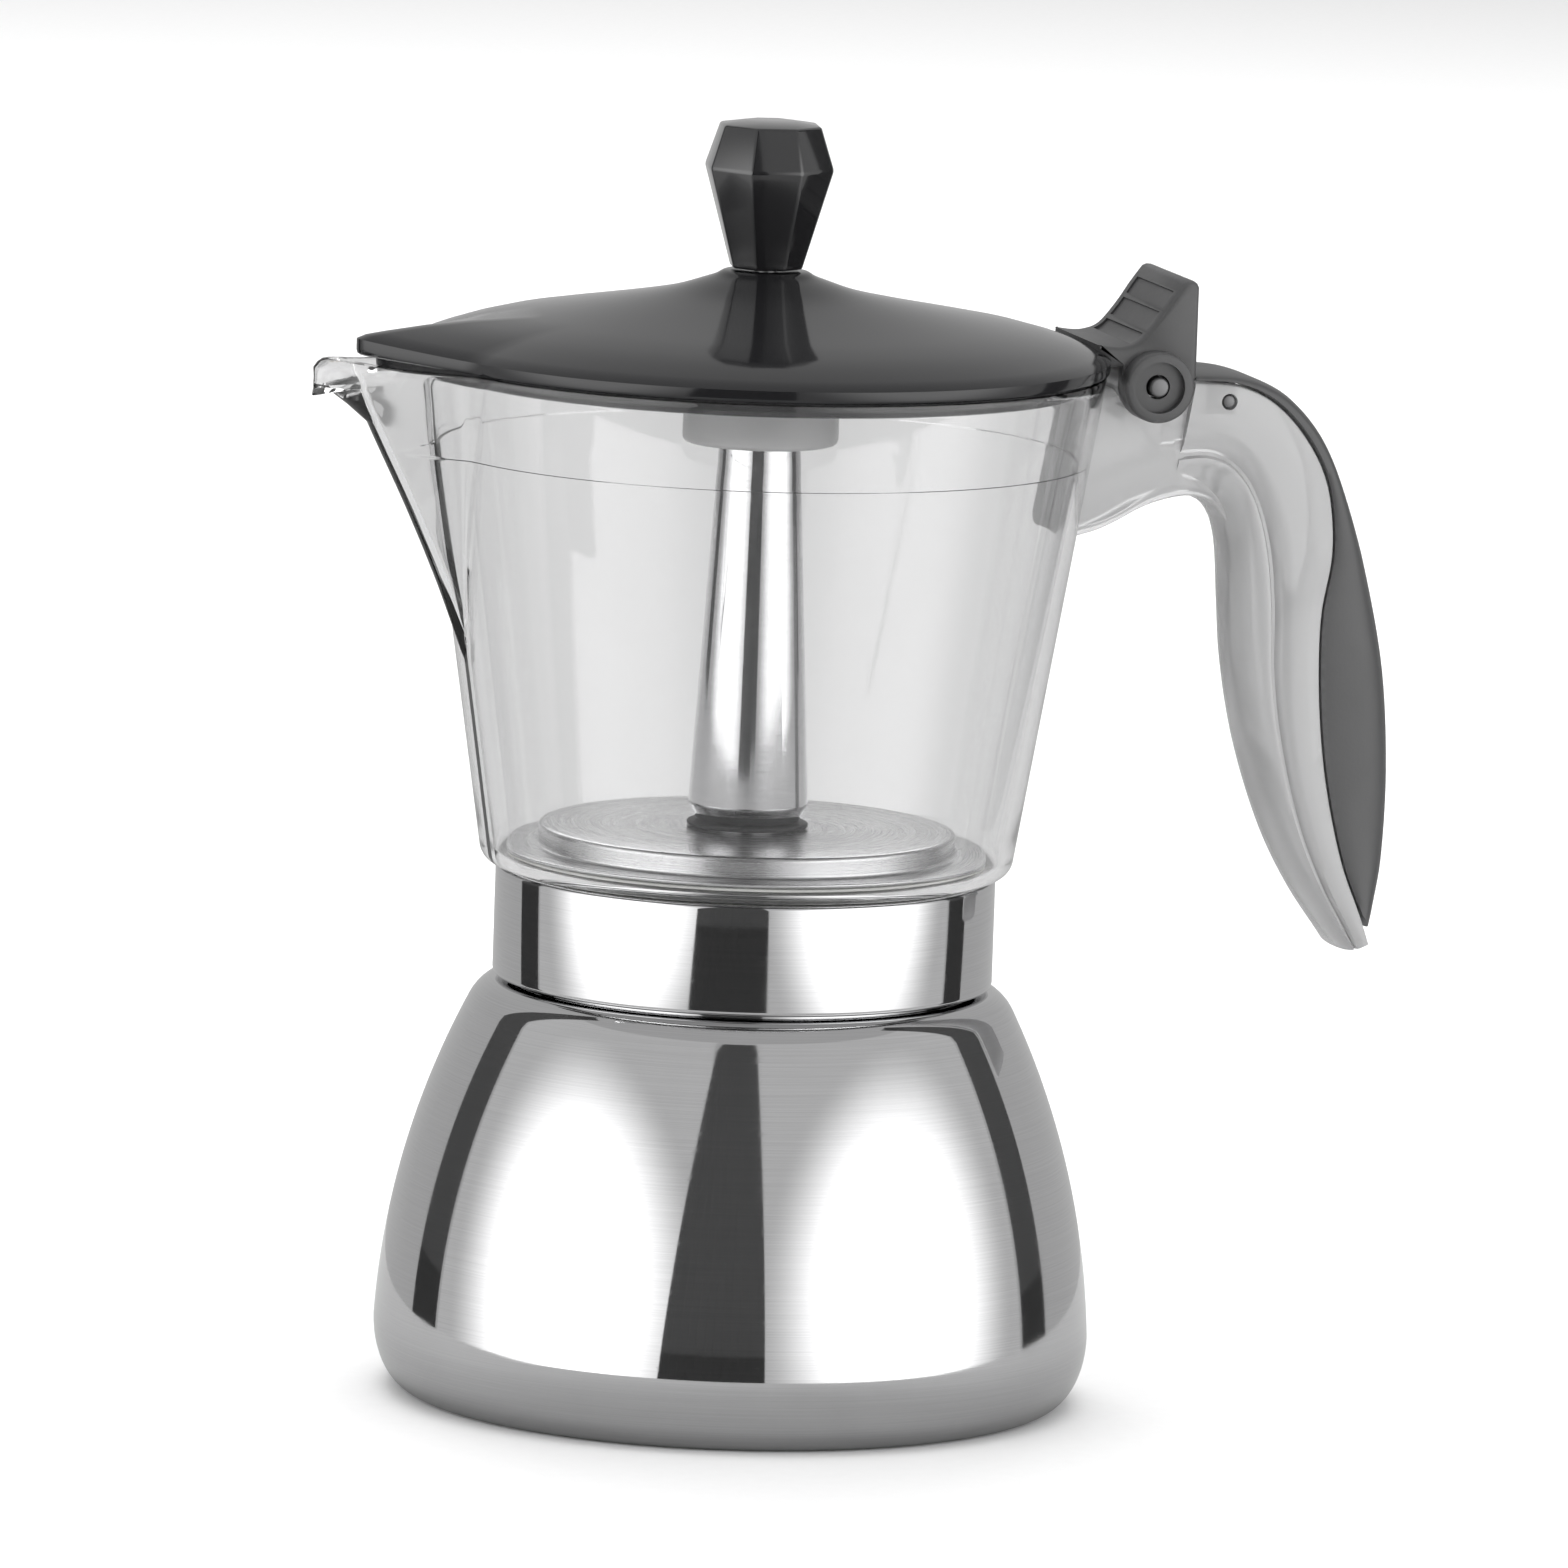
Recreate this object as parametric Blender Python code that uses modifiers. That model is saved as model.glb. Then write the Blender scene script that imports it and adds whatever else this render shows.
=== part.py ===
"""A stove-top moka pot with a steel boiler and a clear jug, in metres, +Z up.

The origin is the centre of the boiler's underside. +X points to the handle, -X to the spout.
Every piece is a closed solid of its own, and neighbouring pieces keep PLAY between them.
"""

import math

import bmesh
import bpy
from mathutils import Matrix, Vector

MM = 0.001
TURNED_STEPS = 48
HIDDEN_STEPS = 32
SMALL_STEPS = 16

# Fits
PLAY = 0.3 * MM
SLIDING = 0.6 * MM

# Boiler
BOILER_R = 52.0 * MM
BASE_R = 46.2 * MM
BASE_CORNER = 10.0 * MM
SHOULDER_R = 39.5 * MM
SHOULDER_Z = 57.5 * MM
SHOULDER_ROUND = 3.0 * MM
SIDE_BULGE = 2.6 * MM
BOILER_WALL = 1.4 * MM
NECK_R = 33.0 * MM
NECK_WALL = 1.6 * MM
NECK_HEIGHT = 9.5 * MM

# Safety valve, on the back of the boiler
VALVE_Z = 38.0 * MM
VALVE_SHANK_R = 4.3 * MM
VALVE_SHANK_IN = 4.0 * MM
VALVE_HEX_R = 6.4 * MM
VALVE_HEX_LONG = 4.5 * MM
VALVE_BORE_R = 2.6 * MM
VALVE_SEAT_R = 1.5 * MM
VALVE_SEAT_LONG = 1.2 * MM
VALVE_BOSS_R = 7.4 * MM
VALVE_BOSS_PROUD = 2.6 * MM
VALVE_WASHER = 0.8 * MM
VALVE_CAP = 1.6 * MM
VALVE_CAP_R = 4.6 * MM
PIN_STEM_R = 0.9 * MM
PIN_HEAD_R = 2.2 * MM
PIN_HEAD_LONG = 1.6 * MM
PIN_OUT = 2.0 * MM
SPRING_WIRE = 0.35 * MM
SPRING_TURNS = 4

# Funnel
RIM_SHEET = 0.8 * MM
BASKET_DEPTH = 20.0 * MM
BASKET_CONE = 9.0 * MM
BASKET_SLEEVE = 5.0 * MM
STEM_R = 4.2 * MM
STEM_WALL = 0.8 * MM
STEM_FLOOR_GAP = 4.5 * MM
PLATE_LEDGE = 1.2 * MM

# Filter and gasket
GASKET_THICK = 2.9 * MM
GASKET_WIDE = 4.7 * MM
FILTER_SHEET = 0.8 * MM
FILTER_DISH = 0.8 * MM
FILTER_RINGS = 2
FILTER_HOLE_R = 1.1 * MM
HOLE_TURN = math.radians(2.3)

# Collar
COLLAR_R = 36.3 * MM
COLLAR_HEIGHT = 16.1 * MM
COLLAR_CHAMFER = 0.4 * MM
WEB_SHEET = 2.0 * MM
WEB_STEP_R = 27.5 * MM

# Jug floor plate
PLATE_SHEET = 0.7 * MM
PLATE_FLANGE_R = 35.0 * MM
PLATE_STEP_R = 30.3 * MM
PLATE_STEP = 3.0 * MM
SEAL_THICK = 0.6 * MM

# Column and its nut
COLUMN_FOOT_R = 8.7 * MM
COLUMN_TOP_R = 5.5 * MM
COLUMN_BELOW_RIM = 3.9 * MM
COLUMN_BEVEL = 1.1 * MM
COLUMN_BORE_R = 3.4 * MM
SPIGOT_R = 5.0 * MM
OUTLET_R = 1.6 * MM
OUTLET_DOWN = 4.0 * MM
NUT_R = 9.2 * MM
NUT_THICK = 3.0 * MM
COLUMN_SEAL_R = 8.8 * MM

# Jug
JUG_FOOT_R = 38.4 * MM
JUG_RIM_R = 49.9 * MM
JUG_HEIGHT = 73.5 * MM
JUG_CORNER = 1.9 * MM
JUG_WALL = 1.9 * MM
JUG_FLOOR = 1.0 * MM
JUG_LEDGE_DOWN = 12.6 * MM
JUG_LEDGE = 0.4 * MM

# Spout: its nose runs from the apex to the beak, as (reach past the rim's radius, drop from the rim)
SPOUT_NOSE = ((-6.6, 43.0), (2.6, 21.1), (8.9, 8.4), (15.0, 3.4), (16.1, 0.0))
SPOUT_HALF_WIDTH = 16.4 * MM
SPOUT_NOSE_R = 3.2 * MM
BEAK = ((11.5, -0.7), (12.9, -0.9), (15.4, -0.9), (17.0, 0.5), (17.9, 4.9), (14.8, 3.6), (11.6, 2.0))
BEAK_HALF_WIDTH = 4.2 * MM

# Hinge of the lid, out from the jug's rim and down from it
HINGE_OUT = 6.2 * MM
HINGE_DOWN = 2.0 * MM
HINGE_PIN_R = 1.5 * MM
HINGE_BOSS_R = 5.2 * MM
HINGE_BOSS_PROUD = 2.4 * MM
HINGE_RECESS_R = 3.8 * MM
HINGE_RECESS = 1.2 * MM
KNUCKLE_R = 4.9 * MM
LUG_HALF = 11.0 * MM
LUG_WALL = 1.6 * MM
LUG_SHEET = 1.8 * MM

# Handle, its outline beside the black insert and the insert's back, as (x, z) from the hinge
HANDLE_HALF = 9.0 * MM
HANDLE_EDGE = 1.8 * MM
INNER_EDGE = (
    (-3.5, -22.0), (0.3, -19.8), (3.9, -17.7), (7.9, -17.1), (11.7, -19.2), (13.8, -24.5),
    (14.5, -34.5), (15.4, -43.2), (18.1, -55.1), (22.5, -67.0), (27.5, -76.0), (33.5, -84.0),
)
TIP = ((34.8, -84.9), (36.5, -83.8), (36.5, -81.4))
SEAM = (
    (34.9, -78.1), (31.7, -69.9), (28.9, -58.1), (27.5, -46.3), (27.3, -34.5), (28.7, -24.5),
    (27.6, -15.0), (24.1, -8.1), (19.1, -2.9), (13.4, -0.3), (6.8, 0.2),
)
BACK_EDGE = (
    (6.8, 1.4), (12.9, 1.3), (17.5, 0.2), (22.2, -2.4), (27.2, -8.1), (31.3, -16.9),
    (35.3, -28.6), (38.5, -42.5), (39.7, -57.0), (39.3, -70.0), (37.9, -77.6), (37.0, -80.6),
)
TONGUE = ((10.1, -4.6), (13.9, 1.0))
TONGUE_HALF = 2.0 * MM
GRIP_PIN = (12.0, -2.6)
GRIP_PIN_R = 0.9 * MM
SADDLE_DOWN = 22.8 * MM
NECK_DOWN = 0.8 * MM

# Lid, its top from the knob to the rim, as (share of the rim's radius, rise above the rim's top edge)
LID_TOP = (
    (0.1113, 11.3), (0.1829, 9.8), (0.2883, 8.1), (0.4632, 6.3), (0.6879, 4.3), (0.8748, 2.2),
    (0.9861, 0.3),
)
LID_PROUD = 0.4 * MM
LID_EDGE = 2.0 * MM
LID_SHEET = 1.8 * MM
LID_SKIRT = 2.2 * MM
LID_SKIRT_WALL = 1.5 * MM
PEAK_LONG = 10.3 * MM
PEAK_HALF = 5.0 * MM
PEAK_RISE = 1.2 * MM
PEAK_THICK = 2.1 * MM

# Knob, its screw and the splash guard
KNOB_SIDES = 8
KNOB_TURN = math.radians(-8.5)
KNOB_WAIST_R = 5.4 * MM
KNOB_R = 9.7 * MM
KNOB_TOP_R = 7.6 * MM
KNOB_WIDE_UP = 14.6 * MM
KNOB_TOP_UP = 20.8 * MM
KNOB_CROWN = 0.6 * MM
SCREW_R = 1.5 * MM
SCREW_HEAD_R = 3.2 * MM
SCREW_HEAD = 1.6 * MM
SCREW_INTO_KNOB = 10.0 * MM
GUARD_R = 11.3 * MM
GUARD_WALL = 1.2 * MM
GUARD_DEPTH = 20.0 * MM

# Heights that follow from the sizes above
BELLY_Z = BASE_CORNER
NECK_Z = SHOULDER_Z + SHOULDER_ROUND
NECK_TOP_Z = NECK_Z + NECK_HEIGHT
NECK_BORE_R = NECK_R - NECK_WALL
COLLAR_Z = NECK_Z + 2 * PLAY
COLLAR_TOP_Z = COLLAR_Z + COLLAR_HEIGHT
COLLAR_BORE_R = NECK_R + PLAY
RIM_Z = NECK_TOP_Z + PLAY
GASKET_Z = RIM_Z + RIM_SHEET + PLAY
GASKET_TOP_Z = GASKET_Z + GASKET_THICK
GASKET_OUT_R = NECK_R
GASKET_IN_R = GASKET_OUT_R - GASKET_WIDE
WEB_Z = GASKET_TOP_Z + PLAY
BASKET_R = NECK_BORE_R - SLIDING
BASKET_IN_R = BASKET_R - RIM_SHEET
JUG_Z = COLLAR_TOP_Z + PLAY
SEAL_Z = JUG_Z + JUG_FLOOR + PLAY
FLANGE_Z = SEAL_Z + SEAL_THICK + PLAY
PLATE_TOP_Z = FLANGE_Z + PLATE_SHEET + PLATE_STEP
WEB_TOP_Z = PLATE_TOP_Z - PLATE_SHEET - PLAY - SLIDING
COLUMN_SEAL_Z = PLATE_TOP_Z + PLAY
COLUMN_Z = COLUMN_SEAL_Z + SEAL_THICK + PLAY
NUT_TOP_Z = WEB_TOP_Z - WEB_SHEET - PLAY
BORE_R = SPIGOT_R + PLAY
JUG_TOP_Z = JUG_Z + JUG_HEIGHT
COLUMN_TOP_Z = JUG_TOP_Z - COLUMN_BELOW_RIM
HINGE_X = JUG_RIM_R + HINGE_OUT
HINGE_Z = JUG_TOP_Z - HINGE_DOWN
LID_RIM_R = JUG_RIM_R + LID_PROUD
PEAK_REACH = LID_RIM_R + PEAK_LONG
RIM_EDGE_Z = JUG_TOP_Z + PLAY + LID_EDGE
LID_APEX_Z = RIM_EDGE_Z + LID_TOP[0][1] * MM
KNOB_Z = LID_APEX_Z + PLAY
GUARD_TOP_Z = LID_APEX_Z - LID_SHEET - PLAY
HANDLE_X = HINGE_X + KNUCKLE_R + 2 * PLAY


def collection(name):
    made = bpy.data.collections.new(name)
    bpy.context.scene.collection.children.link(made)
    return made


def clear_scene():
    for obj in list(bpy.data.objects):
        bpy.data.objects.remove(obj, do_unlink=True)


clear_scene()
PARTS = collection("moka_pot")
CUTTERS = collection("cutters")
FINISHES = {}


def finish(name, colour, roughness, metallic=0.0):
    """Makes a plain Principled material once, and hands it out by name."""
    made = bpy.data.materials.new(name)
    made.use_nodes = True
    shader = made.node_tree.nodes["Principled BSDF"]
    shader.inputs["Base Color"].default_value = (*colour, 1.0)
    shader.inputs["Roughness"].default_value = roughness
    shader.inputs["Metallic"].default_value = metallic
    made.diffuse_color = (*colour, 1.0)
    FINISHES[name] = made


def keep(obj, look):
    """Puts a finished piece in the pot's collection with its own material."""
    for old in list(obj.users_collection):
        old.objects.unlink(obj)
    PARTS.objects.link(obj)
    obj.data.materials.clear()
    obj.data.materials.append(FINISHES[look])
    obj.data.shade_smooth()
    obj.data.set_sharp_from_angle(angle=math.radians(32))
    return obj


def as_cutter(obj):
    for old in list(obj.users_collection):
        old.objects.unlink(obj)
    CUTTERS.objects.link(obj)
    obj.hide_render = True
    obj.display_type = "WIRE"
    return obj


def mesh_object(name, mesh):
    obj = bpy.data.objects.new(name, mesh)
    bpy.context.scene.collection.objects.link(obj)
    return obj


def boolean(target, tool, operation="DIFFERENCE"):
    """Cuts the tool from the target, or joins it to the target."""
    as_cutter(tool)
    cut = target.modifiers.new(tool.name, "BOOLEAN")
    cut.operation = operation
    cut.object = tool
    return target


def turned(name, profile, steps=TURNED_STEPS, closed=False):
    """A profile of (r, z) points spun about Z. It runs down the piece's outer side."""
    mesh = bpy.data.meshes.new(name)
    count = len(profile)
    edges = [(i, i + 1) for i in range(count - 1)]
    if closed:
        edges.append((count - 1, 0))
    mesh.from_pydata([(r, 0.0, z) for r, z in profile], edges, [])
    obj = mesh_object(name, mesh)
    spin = obj.modifiers.new("spin", "SCREW")
    spin.steps = steps
    spin.render_steps = steps
    spin.use_merge_vertices = True
    spin.merge_threshold = 0.00001
    return obj


def ring(name, inner, outer, low, high, steps=TURNED_STEPS):
    """A plain ring or washer."""
    corners = [(outer, high), (outer, low), (inner, low), (inner, high)]
    return turned(name, corners, steps, closed=True)


def rod(name, radius, start, end, sides=SMALL_STEPS, turn=0.0):
    """A solid rod or prism between two points."""
    start, end = Vector(start), Vector(end)
    work = bmesh.new()
    spun = Matrix.Rotation(turn, 4, "Z")
    bmesh.ops.create_cone(work, cap_ends=True, segments=sides, radius1=radius, radius2=radius,
                          depth=(end - start).length, matrix=spun)
    mesh = bpy.data.meshes.new(name)
    work.to_mesh(mesh)
    work.free()
    obj = mesh_object(name, mesh)
    obj.rotation_euler = Vector((0, 0, 1)).rotation_difference(end - start).to_euler()
    obj.location = (start + end) / 2
    return obj


def slab(name, outline, half_width, edge=0.0, edge_steps=2):
    """An outline of (x, z) points, made as thick as twice half_width along Y."""
    curve = bpy.data.curves.new(name, "CURVE")
    curve.dimensions = "2D"
    curve.fill_mode = "BOTH"
    curve.extrude = half_width
    line = curve.splines.new("POLY")
    line.points.add(len(outline) - 1)
    for point, (x, z) in zip(line.points, outline):
        point.co = (x, z, 0.0, 1.0)
    line.use_cyclic_u = True
    guide = mesh_object(name + "_outline", curve)
    guide.rotation_euler = (math.pi / 2, 0, 0)
    bpy.context.view_layer.update()
    graph = bpy.context.evaluated_depsgraph_get()
    mesh = bpy.data.meshes.new_from_object(guide.evaluated_get(graph))
    mesh.name = name
    work = bmesh.new()
    work.from_mesh(mesh)
    bmesh.ops.remove_doubles(work, verts=work.verts, dist=1e-6)
    bmesh.ops.recalc_face_normals(work, faces=work.faces)
    bmesh.ops.dissolve_limit(work, angle_limit=0.01, verts=work.verts, edges=work.edges)
    work.to_mesh(mesh)
    work.free()
    obj = mesh_object(name, mesh)
    obj.matrix_world = guide.matrix_world.copy()
    bpy.data.objects.remove(guide, do_unlink=True)
    if edge:
        rounded = obj.modifiers.new("edge", "BEVEL")
        rounded.width = edge
        rounded.segments = edge_steps
        rounded.limit_method = "ANGLE"
        rounded.angle_limit = math.radians(50)
    return obj


def hull(name, points):
    """The convex solid round a set of points."""
    work = bmesh.new()
    for point in points:
        work.verts.new(point)
    made = bmesh.ops.convex_hull(work, input=work.verts)
    loose = {v for v in made["geom_unused"] + made["geom_interior"] if isinstance(v, bmesh.types.BMVert)}
    bmesh.ops.delete(work, geom=list(loose), context="VERTS")
    bmesh.ops.recalc_face_normals(work, faces=work.faces)
    mesh = bpy.data.meshes.new(name)
    work.to_mesh(mesh)
    work.free()
    return mesh_object(name, mesh)


def box(name, low, high):
    corners = [(x, y, z) for x in (low[0], high[0]) for y in (low[1], high[1]) for z in (low[2], high[2])]
    return hull(name, corners)


def bulge(start, end, height, count):
    """Points along an arc from start to end, after start, that stands height proud to its right."""
    (x0, z0), (x1, z1) = start, end
    length = math.hypot(x1 - x0, z1 - z0)
    side = ((z1 - z0) / length, -(x1 - x0) / length)
    radius = (length * length / 4 + height * height) / (2 * height)
    half = math.asin(length / 2 / radius)
    points = []
    for i in range(1, count + 1):
        angle = half * (2 * i / count - 1)
        along = radius * math.sin(angle) + length / 2
        out = radius * math.cos(angle) - (radius - height)
        share = along / length
        points.append((x0 + (x1 - x0) * share + side[0] * out, z0 + (z1 - z0) * share + side[1] * out))
    return points


def smooth(points, steps):
    """A Catmull-Rom curve through the points, which keeps both ends."""
    ends = [points[0], *points, points[-1]]
    found = []
    for a, b, c, d in zip(ends, ends[1:], ends[2:], ends[3:]):
        for i in range(steps):
            t = i / steps
            found.append(tuple(
                0.5 * (2 * q + (r - p) * t + (2 * p - 5 * q + 4 * r - s) * t * t
                       + (3 * q - p - 3 * r + s) * t ** 3)
                for p, q, r, s in zip(a, b, c, d)))
    return found + [tuple(points[-1])]


def from_hinge(points):
    return [(HINGE_X + x * MM, HINGE_Z + z * MM) for x, z in points]


def across(place, y):
    """A point at (x, z) on an axis that runs along Y."""
    return (place[0], y, place[1])


def boiler_profile(inset, arcs=(2, 7, 4)):
    """One side of the boiler's wall, from the top of the neck to the axis."""
    neck = NECK_R - (NECK_WALL if inset else 0)
    top = (SHOULDER_R - inset, SHOULDER_Z - inset / 2)
    belly = (BOILER_R - inset, BELLY_Z)
    points = [(neck, NECK_TOP_Z), (neck, NECK_Z - inset)]
    crest = (COLLAR_R - inset, NECK_Z - inset)
    points.append(crest)
    shoulder_arcs, side_arcs, corner_arcs = arcs
    points += bulge(crest, top, -0.35 * MM, shoulder_arcs)
    points += bulge(top, belly, -SIDE_BULGE, side_arcs)
    rise = BELLY_Z - inset
    for i in range(1, corner_arcs + 1):
        angle = math.pi / 2 * i / corner_arcs
        points.append((BASE_R - inset + (BOILER_R - BASE_R) * math.cos(angle),
                       BELLY_Z - rise * math.sin(angle)))
    points.append((0.0, inset))
    return points


def radius_at(height):
    """The boiler's outer radius at a height on its side."""
    side = boiler_profile(0.0)
    for (r0, z0), (r1, z1) in zip(side, side[1:]):
        if z1 <= height <= z0 and z0 > z1:
            return r0 + (r1 - r0) * (z0 - height) / (z0 - z1)
    raise ValueError("the height is off the boiler's side")


VALVE_FACE_Y = radius_at(VALVE_Z) + VALVE_BOSS_PROUD
VALVE_WASHER_Y = VALVE_FACE_Y + PLAY
VALVE_HEX_Y = VALVE_WASHER_Y + VALVE_WASHER + PLAY
VALVE_IN_Y = VALVE_FACE_Y - VALVE_BOSS_PROUD - BOILER_WALL - VALVE_SHANK_IN
VALVE_CAP_Y = VALVE_HEX_Y + VALVE_HEX_LONG + PLAY
PIN_HEAD_Y = VALVE_IN_Y + VALVE_SEAT_LONG + PLAY
SPRING_Y = PIN_HEAD_Y + PIN_HEAD_LONG + PLAY


def on_valve(y):
    return (0.0, y, VALVE_Z)


def make_boiler():
    wall = boiler_profile(BOILER_WALL, (1, 4, 2))[::-1] + boiler_profile(0.0)
    boiler = turned("boiler", wall)
    hole = rod("valve_hole", VALVE_BOSS_R + PLAY, on_valve(VALVE_IN_Y), on_valve(VALVE_FACE_Y + SLIDING))
    keep(boolean(boiler, hole), "polished_steel")


def make_valve():
    boss = rod("valve_boss", VALVE_BOSS_R, on_valve(VALVE_IN_Y + VALVE_SHANK_IN / 2), on_valve(VALVE_FACE_Y))
    thread = rod("valve_thread", VALVE_SHANK_R + PLAY, on_valve(VALVE_IN_Y - PLAY),
                 on_valve(VALVE_FACE_Y + PLAY))
    keep(boolean(boss, thread), "satin_steel")

    washer = rod("valve_washer", VALVE_HEX_R, on_valve(VALVE_WASHER_Y),
                 on_valve(VALVE_WASHER_Y + VALVE_WASHER))
    hole = rod("washer_hole", VALVE_SHANK_R + PLAY, on_valve(VALVE_WASHER_Y - PLAY), on_valve(VALVE_HEX_Y))
    keep(boolean(washer, hole), "seal_rubber")

    body = rod("valve_body", VALVE_HEX_R, on_valve(VALVE_HEX_Y),
               on_valve(VALVE_HEX_Y + VALVE_HEX_LONG), sides=6)
    shank = rod("valve_shank", VALVE_SHANK_R, on_valve(VALVE_IN_Y), on_valve(VALVE_HEX_Y + PLAY))
    seat = rod("valve_seat", VALVE_SEAT_R, on_valve(VALVE_IN_Y - PLAY), on_valve(VALVE_HEX_Y))
    bore = rod("valve_bore", VALVE_BORE_R, on_valve(VALVE_IN_Y + VALVE_SEAT_LONG),
               on_valve(VALVE_HEX_Y + VALVE_HEX_LONG + PLAY))
    boolean(body, shank, "UNION")
    boolean(body, seat)
    keep(boolean(body, bore), "brass")

    cap = rod("valve_retainer", VALVE_CAP_R, on_valve(VALVE_CAP_Y), on_valve(VALVE_CAP_Y + VALVE_CAP))
    vent = rod("valve_vent", PIN_STEM_R + PLAY, on_valve(VALVE_CAP_Y - PLAY),
               on_valve(VALVE_CAP_Y + VALVE_CAP + PLAY))
    keep(boolean(cap, vent), "brass")

    pin = rod("valve_pin", PIN_HEAD_R, on_valve(PIN_HEAD_Y), on_valve(PIN_HEAD_Y + PIN_HEAD_LONG))
    stem = rod("valve_stem", PIN_STEM_R, on_valve(PIN_HEAD_Y + PIN_HEAD_LONG / 2),
               on_valve(VALVE_CAP_Y + VALVE_CAP + PIN_OUT))
    keep(boolean(pin, stem, "UNION"), "brass")


def make_spring():
    """A coil between the plunger's head and the cap, along the valve's axis."""
    inner = PIN_STEM_R + PLAY + SPRING_WIRE
    mean = (inner + VALVE_BORE_R - PLAY - SPRING_WIRE) / 2
    start = SPRING_Y + SPRING_WIRE
    length = VALVE_CAP_Y - PLAY - SPRING_WIRE - start
    per_turn = 8
    curve = bpy.data.curves.new("valve_spring", "CURVE")
    curve.dimensions = "3D"
    curve.bevel_depth = SPRING_WIRE
    curve.bevel_resolution = 1
    curve.use_fill_caps = True
    line = curve.splines.new("POLY")
    count = SPRING_TURNS * per_turn + 1
    line.points.add(count - 1)
    for i, point in enumerate(line.points):
        angle = 2 * math.pi * i / per_turn
        along = start + length * i / (count - 1)
        point.co = (mean * math.cos(angle), along, VALVE_Z + mean * math.sin(angle), 1.0)
    spring = mesh_object("valve_spring", curve)
    spring.data.materials.append(FINISHES["satin_steel"])
    bpy.context.scene.collection.objects.unlink(spring)
    PARTS.objects.link(spring)


def perforate(plate, reach, low, high):
    """Cuts rings of small holes through a plate."""
    for number in range(1, FILTER_RINGS + 1):
        radius = reach * (number - 0.35) / FILTER_RINGS
        holes = 6 * number
        work = bmesh.new()
        for i in range(holes):
            angle = 2 * math.pi * i / holes + HOLE_TURN
            place = Matrix.Translation((radius * math.cos(angle), radius * math.sin(angle), (low + high) / 2))
            bmesh.ops.create_cone(work, cap_ends=True, segments=6, radius1=FILTER_HOLE_R,
                                  radius2=FILTER_HOLE_R, depth=high - low, matrix=place)
        mesh = bpy.data.meshes.new("holes")
        work.to_mesh(mesh)
        work.free()
        boolean(plate, mesh_object(plate.name + "_holes_%d" % number, mesh))


def make_funnel():
    sheet = RIM_SHEET
    rim_r = NECK_R - PLAY
    cone_z = RIM_Z + sheet - BASKET_DEPTH
    sleeve_z = cone_z - BASKET_CONE
    sleeve_r = STEM_R + PLAY
    profile = [
        (rim_r, RIM_Z + sheet), (rim_r, RIM_Z), (BASKET_R, RIM_Z), (BASKET_R, cone_z),
        (sleeve_r + sheet, sleeve_z), (sleeve_r + sheet, sleeve_z - BASKET_SLEEVE),
        (sleeve_r, sleeve_z - BASKET_SLEEVE), (sleeve_r, sleeve_z),
        (BASKET_IN_R - PLATE_LEDGE, cone_z), (BASKET_IN_R, cone_z), (BASKET_IN_R, RIM_Z + sheet),
    ]
    keep(turned("funnel_basket", profile, HIDDEN_STEPS, closed=True), "satin_aluminium")

    stem = ring("funnel_stem", STEM_R - STEM_WALL, STEM_R, BOILER_WALL + STEM_FLOOR_GAP, sleeve_z,
                SMALL_STEPS)
    keep(stem, "satin_aluminium")

    low = cone_z + PLAY
    plate = turned("funnel_plate", [(0, low + sheet), (BASKET_IN_R - PLAY, low + sheet),
                                    (BASKET_IN_R - PLAY, low), (0, low)], HIDDEN_STEPS)
    perforate(plate, BASKET_IN_R, low - sheet, low + 2 * sheet)
    keep(plate, "satin_aluminium")


def make_filter():
    keep(ring("gasket", GASKET_IN_R, GASKET_OUT_R, GASKET_Z, GASKET_TOP_Z, HIDDEN_STEPS), "seal_silicone")
    edge = GASKET_IN_R - PLAY
    low = GASKET_Z
    flat = edge * 0.86
    profile = [
        (0, low + FILTER_DISH + FILTER_SHEET), (flat, low + FILTER_DISH + FILTER_SHEET),
        (edge, low + FILTER_SHEET), (edge, low), (flat, low + FILTER_DISH), (0, low + FILTER_DISH),
    ]
    plate = turned("filter_plate", profile, HIDDEN_STEPS)
    perforate(plate, flat, low, low + 3 * FILTER_SHEET)
    keep(plate, "satin_aluminium")


def make_collar():
    edge = COLLAR_CHAMFER
    profile = [
        (COLLAR_R - edge, COLLAR_TOP_Z), (COLLAR_R, COLLAR_TOP_Z - edge), (COLLAR_R, COLLAR_Z + edge),
        (COLLAR_R - edge, COLLAR_Z), (COLLAR_BORE_R, COLLAR_Z), (COLLAR_BORE_R, WEB_Z),
        (WEB_STEP_R - WEB_SHEET, WEB_Z), (WEB_STEP_R - WEB_SHEET, WEB_TOP_Z - WEB_SHEET),
        (BORE_R, WEB_TOP_Z - WEB_SHEET), (BORE_R, WEB_TOP_Z), (WEB_STEP_R, WEB_TOP_Z),
        (WEB_STEP_R, COLLAR_TOP_Z),
    ]
    keep(turned("collar", profile, closed=True), "polished_steel")


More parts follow.
